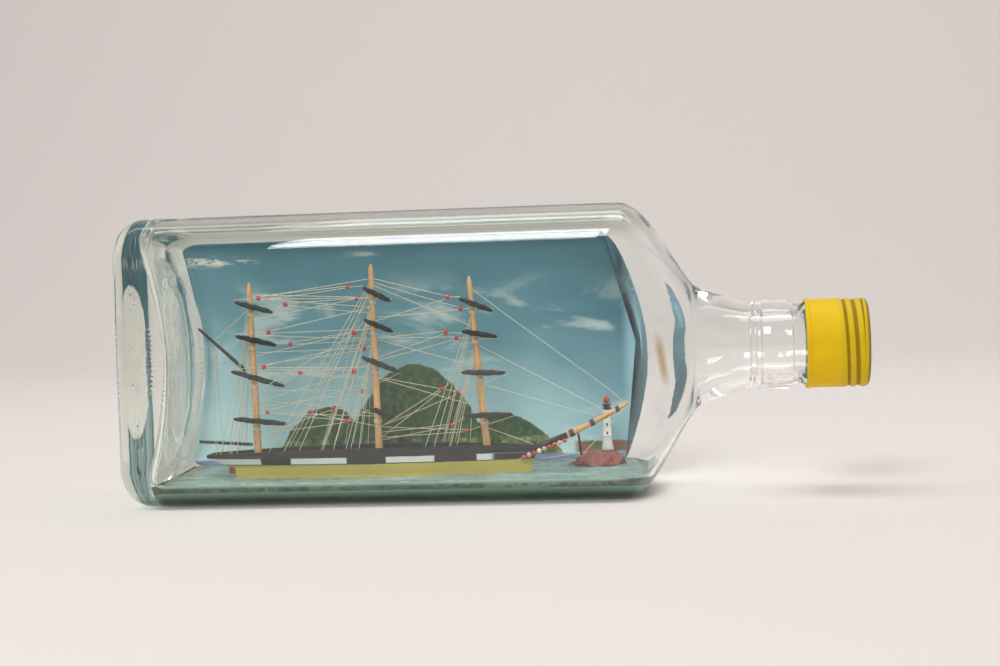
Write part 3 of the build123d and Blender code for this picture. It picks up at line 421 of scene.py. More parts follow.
def clear_glass(paint):
    """Clear glass, a little green where it is thick, rippled where the base was cast, nearly black along the
    bottom as painted contact shadow.
    """
    x, y, z = paint.axes()
    base = 1 - paint.step(x, BASE_X + 7, BASE_X + 24)
    colour = paint.mix(base, (0.97, 0.985, 0.975, 1), (0.8, 0.85, 0.76, 1))
    colour = paint.mix(paint.step(abs(z - AXIS_Z), 38.0, 47.0) * 0.8, colour, (0.74, 0.78, 0.7, 1))
    shoulder, collar = BASE_X + BODY_LENGTH, BASE_X + COLLAR_X
    # painted contact shadow: the glass along the bottom, as far as the shoulder, is darkened to near black
    under = (1 - paint.step(z, 1.5, 6.0)) * (1 - paint.step(x, shoulder, shoulder + 12))
    colour = paint.mix(under, colour, (0.1, 0.17, 0.13, 1))
    push_up = (1 - paint.step(x, BASE_X + 4.6, BASE_X + 5.4)) * (1 - paint.step(abs(y), 17.0, 21.0))
    blots = paint.noise(4, 5, 0.65, stretch=(1, 1.5, 0.3), warp=0.6)
    colour = paint.mix(push_up, colour, paint.mix(blots, (0.5, 0.57, 0.47, 1), (0.92, 0.93, 0.86, 1)))
    stain = paint.band(x, collar + 1.5, collar + 12.0, 1.5)
    stain = stain * (1 - paint.step(z, AXIS_Z - 15.2, AXIS_Z - 12.6))
    spots = paint.step(paint.noise(1.1, 4), 0.44, 0.6)
    colour = paint.mix(stain * spots * 0.8, colour, (150, 98, 42))
    streak = paint.band(x - (z - AXIS_Z) * -0.14, shoulder + 11.5, shoulder + 13.0, 0.7)
    streak = streak * paint.band(z, AXIS_Z - 10, AXIS_Z + 4, 4) * (y < 0.0)
    colour = paint.mix(streak * 0.9, colour, (196, 156, 84))
    wave = paint.bump(paint.noise(30, 1, stretch=(0.6, 1, 1)), 0.3)
    reach = ((y / ISLAND[0]) ** 2 + ((z - AXIS_Z) / ISLAND[1]) ** 2) ** 0.5
    disc = (1 - paint.step(reach, 0.8, 0.86)) * base
    cast = (paint.noise(5, 4, 0.6, stretch=(1, 1.6, 0.4), warp=0.5) * 0.9 + paint.noise(1.6, 3) * 0.35) * disc
    ticks = ((z - AXIS_Z).math("ARCTAN2", y) * 110).math("SINE") * paint.band(reach, 1.0, 1.08, 0.02) * base
    cast = cast + ticks * 0.25 + paint.noise(9, 2) * base * 0.6
    shader = paint.node("ShaderNodeBsdfPrincipled", None, {
        "Base Color": colour, "Roughness": 0.0, "IOR": 1.5, "Transmission Weight": 1.0,
        "Normal": paint.bump(cast, 0.3, under=wave)})
    through = paint.node("ShaderNodeBsdfTransparent", None, {0: (0.94, 0.96, 0.95, 1)})
    shadow = paint.node("ShaderNodeLightPath", out=1)
    paint.output(paint.node("ShaderNodeMixShader", None, {0: shadow, 1: shader, 2: through}))
    return paint.material


def yellow_paint(paint):
    """Yellow enamel, greener in the rolled thread with painted shade in its groove, scuffed along ridges,
    lacquered inside.
    """
    x, y, z = paint.axes()
    radius = ((y ** 2) + (z - AXIS_Z) ** 2) ** 0.5
    colour = paint.mix(paint.noise(6, 4), (236, 198, 20), (222, 180, 16))
    thread = paint.step(x, CAP_LOW[0] + 10.5, CAP_LOW[0] + 12)
    colour = paint.mix(thread * 0.55, colour, (205, 178, 30))
    # painted shade: the bottom of the thread's groove is darkened to a dark brown-yellow
    groove_painted_shade = 1 - paint.step(radius, 14.55, 14.95)
    colour = paint.mix(thread * groove_painted_shade * 0.75, colour, (120, 92, 16))
    edge = paint.step(x, CAP_HIGH[0] - 1.6, CAP_HIGH[0] - 0.3)
    edge = edge * paint.step(paint.noise(1.2, 5, 0.7), 0.42, 0.6)
    scuff = paint.step(paint.noise(0.8, 6, 0.75, stretch=(0.35, 1, 1)), 0.66, 0.72)
    inner = 1 - paint.step(radius, 14.3, 14.45)
    inner = inner * (1 - paint.step(x, CAP_HIGH[0] - 0.6, CAP_HIGH[0] - 0.4))
    colour = paint.mix(edge * 0.6, colour, (150, 118, 60))
    colour = paint.mix(scuff * 0.5, colour, (178, 150, 70))
    colour = paint.mix(inner, colour, paint.mix(paint.noise(3, 4), (214, 150, 52), (178, 112, 34)))
    normal = paint.bump(paint.noise(1.5, 5, 0.6), 0.05)
    return paint.finish(colour, 0.5 + 0.25 * scuff, normal, Specular_IOR_Level=0.15)


def two_tone(name, blots, first, second, roughness, grain=None, **constants):
    """Two colours blended by cloudy noise, under a fine grain; both are a blot's size and its detail."""
    paint = Paint(name)
    colour = paint.mix(paint.noise(*blots), first, second)
    normal = paint.bump(paint.noise(*grain), GRAIN_DEPTH) if grain else None
    return paint.finish(colour, roughness, normal, **constants)


def sea_putty(paint):
    """Putty: blue-grey with pale crests and dirt, teal along the glass, darkened to nearly black underneath
    as painted contact shadow.
    """
    x, y, z = paint.axes()
    strokes = paint.noise(7, 5, 0.55, stretch=(0.35, 1, 1), warp=0.6)
    top = paint.ramp(strokes, (0.3, (92, 116, 118)), (0.52, (126, 148, 142)), (0.72, (158, 178, 166)))
    crest = paint.step(paint.noise(2.5, 6, 0.7, stretch=(0.45, 1, 1)), 0.6, 0.68)
    top = paint.mix(crest * 0.6, top, (200, 208, 204))
    dirt = paint.step(paint.noise(3, 5, 0.7), 0.46, 0.6) * paint.step(abs(y), 21.0, 25.0)
    stern = 1 - paint.step(x, SEA_LOW[0] + 1.0, SEA_LOW[0] + 12.0)
    top = paint.mix((dirt * 0.6).math("MAXIMUM", stern * paint.noise(3, 4)), top, (96, 80, 56))
    height = (z + paint.noise(6, 3) * 1.4 - 0.7) / SEA_Z
    # the side colour is the putty's teal, darkened to nearly black towards the bottom as painted contact
    # shadow
    side = paint.ramp(height, (0.25, (12, 28, 22)), (0.42, (50, 84, 68)), (0.58, (152, 194, 170)),
                      (0.95, (180, 214, 192)))
    low = (1 - paint.step(z, SEA_Z - 2.2, SEA_Z - 1.8)).math("MAXIMUM", paint.step(abs(y), 26.4, 27.2))
    colour = paint.mix(low, top, side)
    normal = paint.bump(strokes, 0.5, under=paint.bump(paint.noise(1.4, 4), 0.15))
    return paint.finish(colour, 0.5, normal)


def sky_paint(paint):
    """Brushed sky with soft clouds, a wooded headland with a few houses, and a strip of far sea; paler where
    it runs into the shoulder, as painted light.
    """
    x, _, z = paint.axes()
    rise = (z - SEA_Z) / (PAINT_TOP - SEA_Z)
    dabs = paint.noise(9, 5, 0.6, stretch=(0.45, 1, 1), warp=0.4)
    rise = rise + dabs * 0.2 - 0.1 + paint.step(x, 5.0, 50.0) * 0.22
    rise = rise - (1 - paint.step(x, -112.0, -78.0)) * 0.2
    sky = paint.ramp(rise, *SKY)
    puffs = paint.noise(20, 6, 0.6, stretch=(0.5, 1, 1.3), warp=0.5)
    cloud = paint.step(puffs, 0.56, 0.7) * (1 - paint.step(z, 62.0, 80.0))
    colour = paint.mix(cloud * 0.62, sky, (214, 222, 218))
    streak = paint.step(paint.noise(8, 6, 0.72, stretch=(0.5, 1, 2.0)), 0.5, 0.6)
    streak = streak * paint.band(z, 82.5, 86.0, 1.4) * paint.step(paint.noise(60, 1), 0.44, 0.52)
    colour = paint.mix(streak * 0.9, colour, (236, 226, 206))
    # the headland: three rounded tops whose edge wanders with the brush
    wander = paint.noise(6, 5, 0.6) * 5.0 - 2.5
    top = 0.0
    for middle, half, height in HILLS:
        top = paint.hump(x, middle, half, height).math("MAXIMUM", top)
    hill = paint.step(SEA_Z + top + wander - z, 0.0, 0.9)
    leaves = paint.noise(2.2, 6, 0.7, warp=0.3)
    colour = paint.mix(hill, colour, paint.ramp(leaves, *WOODS))
    foot = paint.step(SEA_Z + 9.5 + wander * 0.6 - z, 0.0, 1.0) * hill
    meadow = paint.ramp(paint.noise(1.8, 5), *MEADOW)
    colour = paint.mix(foot * paint.step(paint.noise(7, 3), 0.42, 0.56), colour, meadow)
    for along, up, width, tall in HOUSES:
        beside = abs(x - along)
        wall = (1 - paint.step(beside, width - 0.1, width + 0.1)) * paint.band(z, up, up + tall, 0.1)
        ridge = up + tall + width * 0.85
        roof = paint.step(ridge - z - beside * 0.75, 0.0, 0.2) * paint.step(z, up + tall, up + tall + 0.1)
        colour = paint.mix(wall, colour, (236, 232, 222))
        colour = paint.mix(roof, colour, (184, 78, 54))
    shore = paint.band(z + wander * 0.4, SEA_Z + 3.0, SEA_Z + 7.0, 0.5) * paint.step(x, 24.0, 27.0)
    land = paint.mix(paint.step(paint.noise(4, 4), 0.48, 0.56), (150, 78, 66), (74, 112, 70))
    colour = paint.mix(shore * (1 - hill), colour, land)
    water = 1 - paint.step(z, SEA_Z + 2.0, SEA_Z + 3.2)
    waves = paint.mix(paint.noise(5, 4, stretch=(0.3, 1, 1)), (92, 108, 150), (132, 152, 180))
    colour = paint.mix(water, colour, waves)
    # painted light: the sky is made paler where the paint runs into the shoulder glass
    edge = paint.step(x, BASE_X + BODY_LENGTH - 1.0, BASE_X + BODY_LENGTH + 5.0) * (1 - hill)
    colour = paint.mix(edge * 0.75, colour, (168, 206, 220))
    brush = paint.noise(3, 5, 0.6, stretch=(0.2, 1, 1.0))
    return paint.finish(colour, 0.75, paint.bump(brush, 0.1), Specular_IOR_Level=0.2)


def rock_putty(paint):
    lumps = paint.noise(2.6, 6, 0.65)
    return paint.finish(paint.ramp(lumps, *ROCK), 0.6, paint.bump(lumps, 0.4))


def white_paint(paint):
    """Brushed white on wood, a little dirty and green at its foot, with dark windows up the tower."""
    x, _, z = paint.axes()
    colour = paint.mix(paint.noise(2, 5), (236, 234, 226), (206, 204, 194))
    foot = 1 - paint.step(z + paint.noise(2, 4) * 3, TOWER[2] + 1.5, TOWER[2] + 4.0)
    colour = paint.mix(foot * 0.6, colour, (150, 160, 140))
    for up in WINDOWS:
        window = paint.band(z, TOWER[2] + up, TOWER[2] + up + 1.1, 0.08)
        window = window * (1 - paint.step(abs(x - TOWER[0]), 0.3, 0.42))
        colour = paint.mix(window, colour, (28, 30, 30))
    return paint.finish(colour, 0.45, paint.bump(paint.noise(0.8, 4), 0.05))


def black_paint(paint):
    wear = paint.step(paint.noise(1.6, 6, 0.7), 0.62, 0.74)
    colour = paint.mix(wear * 0.6, (22, 22, 22), (70, 58, 46))
    return paint.finish(colour, 0.4, paint.bump(paint.noise(0.9, 5, 0.6), 0.08))


def red_bead(paint):
    """Bright red glass bead; shade 1 is pink, 2 cream."""
    shade = paint.attribute("shade")
    colour = paint.mix(paint.step(shade, 0.4, 0.6), (196, 26, 24), (226, 150, 140))
    colour = paint.mix(paint.step(shade, 1.4, 1.6), colour, (232, 214, 180))
    return paint.finish(colour, 0.14, None, Coat_Weight=0.6)


def hull_paint(paint):
    """Yellow below, a wavy black line, a white band with black ports, and black above."""
    x, _, z = paint.axes()
    up = z - SEA_Z + paint.noise(6, 4) * 0.5 - 0.25
    yellow = paint.mix(paint.noise(4, 5, 0.6, stretch=(0.4, 1, 1)), (192, 176, 84), (164, 150, 68))
    grime = paint.step(paint.noise(2.4, 6, 0.7, stretch=(0.5, 1, 1)), 0.6, 0.7)
    yellow = paint.mix(grime * 0.5, yellow, (150, 132, 60))
    white = paint.mix(paint.noise(3, 5), (228, 228, 220), (186, 192, 188))
    black = paint.mix(paint.noise(2, 5), (18, 18, 18), (40, 36, 32))
    port = 0.0
    for low, high in PORTS:
        port = paint.band(x + paint.noise(3, 3) * 1.2, low, high, 0.3) + port
    colour = paint.mix(paint.step(up, 3.8, 4.0), yellow, black)
    colour = paint.mix(paint.step(up, 4.15, 4.35), colour, paint.mix(port, white, black))
    colour = paint.mix(paint.step(up, 6.35, 6.55), colour, black)
    stem = paint.step(x, PORTS[-1][1] + 4.0, PORTS[-1][1] + 6.0)
    colour = paint.mix(stem * paint.band(up, 4.2, 6.4, 0.2), colour, black)
    return paint.finish(colour, 0.45, paint.bump(paint.noise(1.2, 5, 0.6, stretch=(0.4, 1, 1)), 0.12))


def bare_wood(paint):
    """Pale varnished softwood with fine grain along the stick."""
    grain = paint.noise(0.5, 5, 0.6, stretch=(1, 1, 0.06), warp=0.4)
    blotch = paint.noise(7, 3)
    colour = paint.ramp(grain, (0.25, (168, 118, 66)), (0.5, (208, 160, 102)), (0.75, (226, 186, 132)))
    colour = paint.mix(paint.step(blotch, 0.5, 0.75) * 0.5, colour, (176, 122, 70))
    return paint.finish(colour, 0.45, paint.bump(grain, 0.06), Coat_Weight=0.15)


def furled_sail(paint):
    """Dark tarred cloth rolled along the yard."""
    fibres = paint.noise(0.7, 6, 0.7)
    colour = paint.ramp(fibres, (0.3, (18, 20, 18)), (0.55, (34, 38, 32)), (0.75, (78, 74, 58)))
    return paint.finish(colour, 0.6, paint.bump(fibres, 0.18))


def cream_thread(paint):
    fibre = paint.noise(0.35, 4, 0.6)
    colour = paint.mix(fibre, (184, 170, 138), (224, 214, 186))
    return paint.finish(colour, 0.7, paint.bump(fibre, 0.04), Sheen_Weight=0.2)


MAKERS = [clear_glass, yellow_paint, sea_putty, sky_paint, rock_putty, white_paint, black_paint, red_bead,
          hull_paint, bare_wood, furled_sail, cream_thread]
FINISHES = {maker.__name__: maker(Paint(maker.__name__)) for maker in MAKERS}
FINISHES["liner_foam"] = two_tone("liner_foam", (2, 4), (226, 222, 210), (206, 200, 184), 0.8, (0.5, 3))
FINISHES["red_paint"] = two_tone("red_paint", (1, 4), (190, 40, 30), (150, 30, 24), 0.4, (0.6, 3))
FINISHES["brass_wire"] = two_tone("brass_wire", (0.5, 3), (206, 170, 96), (160, 124, 62), 0.32, Metallic=1.0)


# ==== the bottle
def polar_angles():
    """Angles round the bottle's axis, close together at the body's four corners."""
    steps = ((0, 45, 12), (45, 73, 26), (73, 90, 6))
    quarter = np.concatenate([np.linspace(*span, endpoint=False) for span in steps])
    back = 180 - quarter[::-1]
    half = np.concatenate([quarter, [90.0], back[:-1]])
    return np.radians(np.concatenate([half, half + 180]))


ANGLES = polar_angles()


def outline(a, b, c, angles=ANGLES):
    """Distance at each angle to a rounded rectangle of half width a, half height b and corner radius c."""
    u = np.abs(np.cos(angles))
    v = np.abs(np.sin(angles))
    side = a / np.maximum(u, 1e-6)
    end = b / np.maximum(v, 1e-6)
    centre = (a - c) * u + (b - c) * v
    root = np.sqrt(np.maximum(centre ** 2 - (a - c) ** 2 - (b - c) ** 2 + c ** 2, 0))
    return np.where(side * v <= b - c, side, np.where(end * u <= a - c, end, centre + root))


def ringed(x, radius):
    """Rings round the bottle's axis at each x, in the frame's place."""
    y = radius * np.cos(ANGLES)
    z = radius * np.sin(ANGLES) + AXIS_Z
    return np.stack([np.broadcast_to(np.asarray(x, float)[:, None] + BASE_X, y.shape), y, z], -1)


def section(share, inset):
    """Half width, half height and corner of the outside, less an inset; share runs along the shoulder."""
    fall = np.cos(share * math.pi / 2) ** SHOULDER_POWER
    neck = TAPER_RADIUS - inset
    half_width = neck + (HALF_WIDTH - TAPER_RADIUS) * fall
    half_height = neck + (HALF_HEIGHT - TAPER_RADIUS) * fall
    return half_width, half_height, NECK_ROUND * neck + (BODY_CORNER - inset - NECK_ROUND * neck) * fall


def round_heel(radius, places=9):
    """Sections round the edge between base and walls: a quarter circle of the heel's radius."""
    angle = np.linspace(0, math.pi / 2, places)
    return ringed(radius * (1 - np.cos(angle)), outline(*section(0.0, radius * (1 - np.sin(angle[:, None])))))


def dish_rows(places=40):
    """The push-up: rings of the oval from its middle out, lifted by the dish's depth."""
    share = np.linspace(0.02, 1, places)
    lift = DISH * (0.5 + 0.5 * np.cos(math.pi * np.clip((share - 0.6) / 0.4, 0, 1)))
    return ringed(lift, share[:, None] * outline(*OVAL))


def swollen(rows):
    """The inside of the base: a swelling round over the height, faded out along the body, and the island."""
    x, y, z = (rows[..., k] for k in range(3))
    rise = SWELL * np.clip(1 - ((z - AXIS_Z) / SWELL_HALF) ** 2, 0, 1) * (1 - 0.2 * (y / HALF_WIDTH) ** 2)
    near = np.clip(1 - (x - BASE_X - BASE_THICKNESS) / 24.0, 0, 1)
    inward = np.clip((1 - np.hypot(y / ISLAND[0], (z - AXIS_Z) / ISLAND[1])) / 0.07, 0, 1)
    rise = rise + ISLAND[2] * inward * inward * (3 - 2 * inward)
    return np.stack([x + rise * near * near * (3 - 2 * near), y, z], -1)


def hollow(x, inset=0.0):
    """Half width, half height and corner of the hollow at each x, less an inset.

    The wall thickens by a squared sine in the shoulder and thins towards the neck; the heel draws
    the hollow in by a quarter circle.
    """
    share = np.clip((x - BODY_LENGTH) / SHOULDER, 0, 1)
    start, end, extra = THICK
    thick = np.clip((x - start) / (end - start), 0, 1) ** 2
    wall = WALL + extra * np.sin(math.pi * thick) ** 2 - share * share * (3 - 2 * share)
    heel = np.clip((x - BASE_THICKNESS) / INNER_HEEL, 0, 1)
    drawn = INNER_HEEL * (1 - np.sqrt(1 - (1 - heel) ** 2))
    half_width, half_height, corner = section(share, inset + wall)
    return half_width - drawn, half_height - drawn, np.maximum(corner - drawn, 0.5)


def reach_inside(x, angles=ANGLES, inset=0.0):
    """The hollow's distance from the axis at each angle."""
    return outline(*hollow(x, inset), angles)


def plain(radii):
    """Rings of one radius each, as wide as the table of angles."""
    return np.repeat(np.asarray(radii, float)[:, None], len(ANGLES), 1)


def neck_rows():
    """The neck's outside: circles through the outline, with the helical thread raised on the finish."""
    x, radius = np.array(NECK).T
    finish_x = np.linspace(*FINISH, 46)
    first, height, half, start, end = GLASS_THREAD
    turns = (finish_x[:, None] - first) / THREAD_PITCH - ANGLES / (2 * math.pi)
    ridge = np.clip(1 - np.abs((turns + 0.5) % 1 - 0.5) / half, 0, 1) ** 0.7
    ridge = ridge * ((turns > start) & (turns < end))
    lip_x, lip_in = np.array(LIP).T
    x = np.concatenate([x, finish_x, lip_x + (MOUTH_X - BASE_X - COLLAR_X)])
    return ringed(x + COLLAR_X, np.concatenate([
        plain(radius), FINISH_RADIUS + height * ridge, plain(FINISH_RADIUS - lip_in)]))


def bore_rows():
    """The bore from the mouth back to the end of the shoulder, widening like the neck."""
    mouth = MOUTH_X - BASE_X
    wide_x, wide = np.array(BORE).T
    narrow = np.linspace(mouth - 6, COLLAR_X + 1, 10)
    x = np.concatenate([[mouth - 0.5, mouth - 1.0], narrow, COLLAR_X + wide_x])
    return ringed(x, plain([BORE_RADIUS + 0.15, *[BORE_RADIUS] * 11, *wide]))


def make_bottle():
    """One closed skin: base dish, outside, neck, mouth, bore, inside and the swollen base."""
    steps = np.linspace(0, 1, 26)
    body = np.linspace(HEEL, BODY_LENGTH, 44)[1:-1]
    outside = ringed(body, outline(*section(0.0 * body[:, None], 0.0)))
    shoulder = ringed(BODY_LENGTH + SHOULDER * steps, outline(*section(steps[:, None], 0.0)))
    heel_end = BASE_THICKNESS + INNER_HEEL
    inner_x = np.concatenate([
        np.linspace(TAPER_X, THICK[0], 60), np.linspace(THICK[0], heel_end, 42)[1:-1],
        BASE_THICKNESS + INNER_HEEL * (1 - np.cos(np.linspace(math.pi / 2, 0, 10)))])
    share = np.linspace(1, 0.01, 70)[1:]
    flat = ringed(BASE_THICKNESS + 0 * share, share[:, None] * reach_inside(BASE_THICKNESS))
    floor = np.concatenate([ringed(inner_x, reach_inside(inner_x[:, None])), flat])
    bottle = Shells().add(np.concatenate([
        dish_rows(), round_heel(HEEL), outside, shoulder, neck_rows(), bore_rows(), swollen(floor)]))
    bottle.piece("bottle_glass", "clear_glass", "bottle")


def make_cap():
    """The cap: inside, rim bead, skirt with a groove wound three times, and rounded end."""
    length = CAP_HIGH[0] - CAP_LOW[0]
    along = np.linspace(1.7, length - 1.9, 90)
    first, depth, end = CAP_GROOVE
    turns = (along[:, None] - first) / THREAD_PITCH - ANGLES / (2 * math.pi)
    groove = (0.5 + 0.5 * np.cos(2 * math.pi * turns)) ** 2
    groove = groove * np.clip(turns * 4 + 1, 0, 1) * np.clip((end - turns) * 4, 0, 1) * depth
    skirt = CAP_RADIUS - groove
    bend = np.linspace(0, math.pi / 2, 8)
    rim_x, rim = np.array(CAP_RIM).T
    x = np.concatenate([
        [length - CAP_CEILING] * 3, [length - 1.0, length - 1.9], along[::-1], [0.0],
        rim_x, along, length - CAP_BEND + CAP_BEND * np.sin(bend), [length] * 3])
    radius = np.concatenate([
        plain(CAP_DISC[::-1]), plain([12.9, 14.2]), np.minimum(skirt[::-1] - CAP_METAL, CAP_INSIDE),
        plain([14.35]), plain(rim), skirt, plain(CAP_RADIUS - CAP_BEND + CAP_BEND * np.cos(bend)),
        plain(CAP_DISC)])
    cap = Shells().add(ringed(CAP_LOW[0] - BASE_X + x, radius))
    cap.piece("cap_shell", "yellow_paint", "screw_cap", body="cap")


# ==== rigging
def make_threads(node):
    """Each thread as three plies: a ring of high and low corners that turns as it goes along."""
    shells = Shells()
    high, low = PLY
    for index, solid in enumerate(islands(node)):
        start, end = ends(solid)
        run = end - start
        length = np.linalg.norm(run)
        pull = run / length * THREAD_END
        share = np.linspace(0, 1, max(4, int(length / PLY_RUN)))[:, None]
        turn = share * length / PLY_RUN * (math.pi / 6) + index
        angle = turn + np.arange(6) * math.pi / 3
        radius = np.where(np.arange(6) % 2, low, high)
        sag = np.sin(share * math.pi) * min(0.25, length * 0.004) * RNG.uniform(0.2, 1.0)
        path = (start - pull) + share * (run + 2 * pull) - sag * np.array([0, 0, 1.0])
        shells.add(path[:, None] + radius[:, None] * circle(run / length, angle), index)
    shells.piece(node + "_laid", "cream_thread", node)


def make_beads(node, shades):
    """Seed beads: a round-edged ring of glass with its bore along the thread."""
    shells = Shells()
    outer, edge, half = BEAD
    angle = full_turn(14)
    around = full_turn(20)
    radial, along = outer - edge + edge * np.cos(angle), half * np.sin(angle)
    for index, solid in enumerate(islands(node)):
        middle = solid.mean(0)
        axis = np.linalg.svd(solid - middle, full_matrices=False)[2][0]
        size = 1 + 0.08 * math.sin(index * 2.3)
        ring = (size * radial)[:, None, None] * circle(axis, around)
        rows = middle + (size * along)[:, None, None] * axis + ring
        shells.add(rows, shades[index % len(shades)], looped=True)
    shells.piece(node + "_glass", "red_bead", node)


def make_stick(node, finish, shares, radii, around=24, shape=None, upward=True, ending="_stick"):
    start, end = stick_ends(node, upward)
    stick = Shells().add(lathe(start, end, shares, radii, around, shape))
    stick.piece(node + ending, finish, node)


def make_mast(node):
    """A whittled stick: straight taper, then a blunt point, with faint flats left by the knife."""
    seed = len(node)
    foot, top, point = MAST
    shares = np.concatenate([np.linspace(0, 0.955, 40), np.linspace(0.965, 1, 8)])
    radii = np.concatenate([np.linspace(foot, top, 40), point * np.sqrt(np.linspace(1, 0.06, 8))])

    def flats(share, angle):
        return 1 + 0.02 * np.cos(5 * angle + 3 * share) + 0.012 * np.sin(40 * share + 2 * angle + seed)
    make_stick(node, "bare_wood", shares, radii, 28, flats)


def make_yard(node, index):
    """A yard under its furled sail: a fat roll with twisted folds, nipped in where it is tied."""
    start, end = stick_ends(node, upward=False)
    least, more = YARD
    shares = np.linspace(0, 1, 90)
    radii = least + more * np.sin(math.pi * np.clip(shares * 1.04 - 0.02, 0, 1)) ** 0.4
    radii = radii * (1 + 0.15 * smooth_noise(len(shares), index, 14, 2.0))
    nips = np.abs(((shares * np.linalg.norm(end - start) / TIE_PITCH + 0.5) % 1) - 0.5) * 2
    radii = radii * (0.9 + 0.1 * np.minimum(1, nips * 3))

    def folds(share, angle):
        fine = 0.08 * np.cos(7 * angle - 31 * share + index)
        return 1 + 0.13 * np.cos(3 * angle + 22 * share + index) + fine
    make_stick(node, "furled_sail", shares, radii, 20, folds, False, "_furled")


def make_wraps():
    """Thread wound five times round the mast under each yard."""
    shells = Shells()
    turns, half, radius = WRAP
    for index, solid in enumerate(islands("mast_wraps")):
        middle = solid.mean(0)
        axis = np.linalg.svd(solid - middle, full_matrices=False)[2][2]
        axis = axis * np.sign(axis[2])
        reach = np.sort(np.linalg.norm((solid - middle) - np.outer((solid - middle) @ axis, axis), axis=1))[0]
        turn = np.linspace(0, turns * 2 * math.pi, 120)
        outward = circle(axis, turn)
        lift = np.linspace(-half, half, 120)[:, None] + 0.03 * np.sin(turn * 0.7 + index)[:, None]
        path = middle + lift * axis + (reach + 0.05) * outward
        shells.add(tube(path, radius, 6, outward))
    shells.piece("mast_wraps_wound", "cream_thread", "mast_wraps")


# ==== sea and shore
def make_sea():
    """Putty: rippled on top, raised where it meets the glass, and lying on the glass below."""
    x = np.linspace(SEA_LOW[0] - BASE_X, BODY_LENGTH + 9.5, 220)[:, None]
    half_width, half_height, corner = hollow(x, -WETTING)
    floor = AXIS_Z - half_height
    depth = np.maximum(SEA_Z + 0.4 - floor, 0.05)
    drop = np.clip(corner - depth, 0, None)
    shore = half_width - corner + np.sqrt(np.maximum(corner ** 2 - drop ** 2, 0))
    across = np.sin(np.linspace(-1, 1, 90) * math.pi / 2)
    y = shore * across
    inward = np.clip(np.abs(y) - (half_width - corner), 0, corner)
    low = floor + corner - np.sqrt(np.maximum(corner ** 2 - inward ** 2, 0))
    ripple = (0.16 * np.sin(x * 0.9 + 1.3 * np.sin(y * 0.35)) + 0.13 * np.sin(x * 0.37 - y * 0.8)
              + 0.1 * np.sin(x * 1.7 + y * 1.1 + 2 * np.sin(x * 0.21)))
    away = np.clip((np.abs(y) - 11.0) / 16.0, 0, 1)
    brim = 0.25 * smooth_noise(len(x), 12, 30)[:, None] * away
    top = SEA_Z - 1.15 + 1.45 * away ** 1.5 + brim + ripple
    top = np.maximum(top, low + 0.02)
    xs = np.broadcast_to(x + BASE_X, y.shape)
    upper = np.stack([xs, y, top], -1)
    lower = np.stack([xs, y, low], -1)[:, ::-1]
    sea = Shells().add(np.concatenate([upper, lower[:, 1:-1]], 1))
    sea.piece("sea_putty_surface", "sea_putty", "sea")


def make_backdrop():
    """The skin of paint on the hollow's back wall and corners, with a rounded end in the shoulder."""
    high = np.linspace(SEA_Z + 0.1, PAINT_TOP, 90)
    half_width, half_height, corner = hollow(BODY_LENGTH / 2)
    past = np.clip(np.abs(high - AXIS_Z) - (half_height - corner), 0, corner)
    angles = np.arctan2(high - AXIS_Z, half_width - corner + np.sqrt(corner ** 2 - past ** 2))[:, None]
    share = np.linspace(0, 1, 200)[:, None]
    left = BASE_THICKNESS + 0.8 + 0.25 * smooth_noise(90, 5, 20)
    middle = np.abs((high - AXIS_Z + 4.0) / HALF_HEIGHT)
    right = BODY_LENGTH + PAINT_END - 21.0 * middle ** 2.6 + 0.2 * smooth_noise(90, 6, 24)
    x = (left + (right - left) * share).T
    sheets = []
    for inset in (-WETTING, 0.3):
        radius = reach_inside(x, angles, inset)
        points = [x + BASE_X, radius * np.cos(angles), AXIS_Z + radius * np.sin(angles)]
        sheets.append(swollen(np.stack(points, -1)).swapaxes(0, 1))
    back, front = sheets
    skin = Shells().add(np.concatenate([back, front[:, ::-1]], 1))
    skin.piece("painted_backdrop_skin", "sky_paint", "painted_backdrop")


def make_rock():
    """A mound: rings that shrink as they rise, each pushed in and out by lumps."""
    low, high = (np.array(corner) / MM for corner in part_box("headland_rock"))
    middle, half = (low + high) / 2, (high - low) / 2
    rise = np.linspace(0, 1, 30)[:, None]
    angle = full_turn(72)
    size = np.sqrt(1 - 0.82 * rise ** 1.4)
    lumps = 1 + 0.1 * np.sin(3 * angle + 5 * rise) + 0.07 * np.sin(7 * angle - 4 * rise)
    lumps = lumps + 0.05 * np.sin(13 * angle + 9 * rise) + 0.03 * np.sin(23 * angle - 15 * rise)
    x = middle[0] + 2.0 * (rise - 0.5) + half[0] * 0.9 * size * lumps * np.cos(angle)
    y = middle[1] + half[1] * 0.9 * size * lumps * np.sin(angle)
    z = low[2] - 1.0 + (2 * half[2] + 1.0) * (rise + 0 * angle) + 0.25 * np.sin(5 * angle) * rise
    Shells().add(np.stack([x, y, z], -1)).piece("headland_rock_lumps", "rock_putty", "headland_rock")


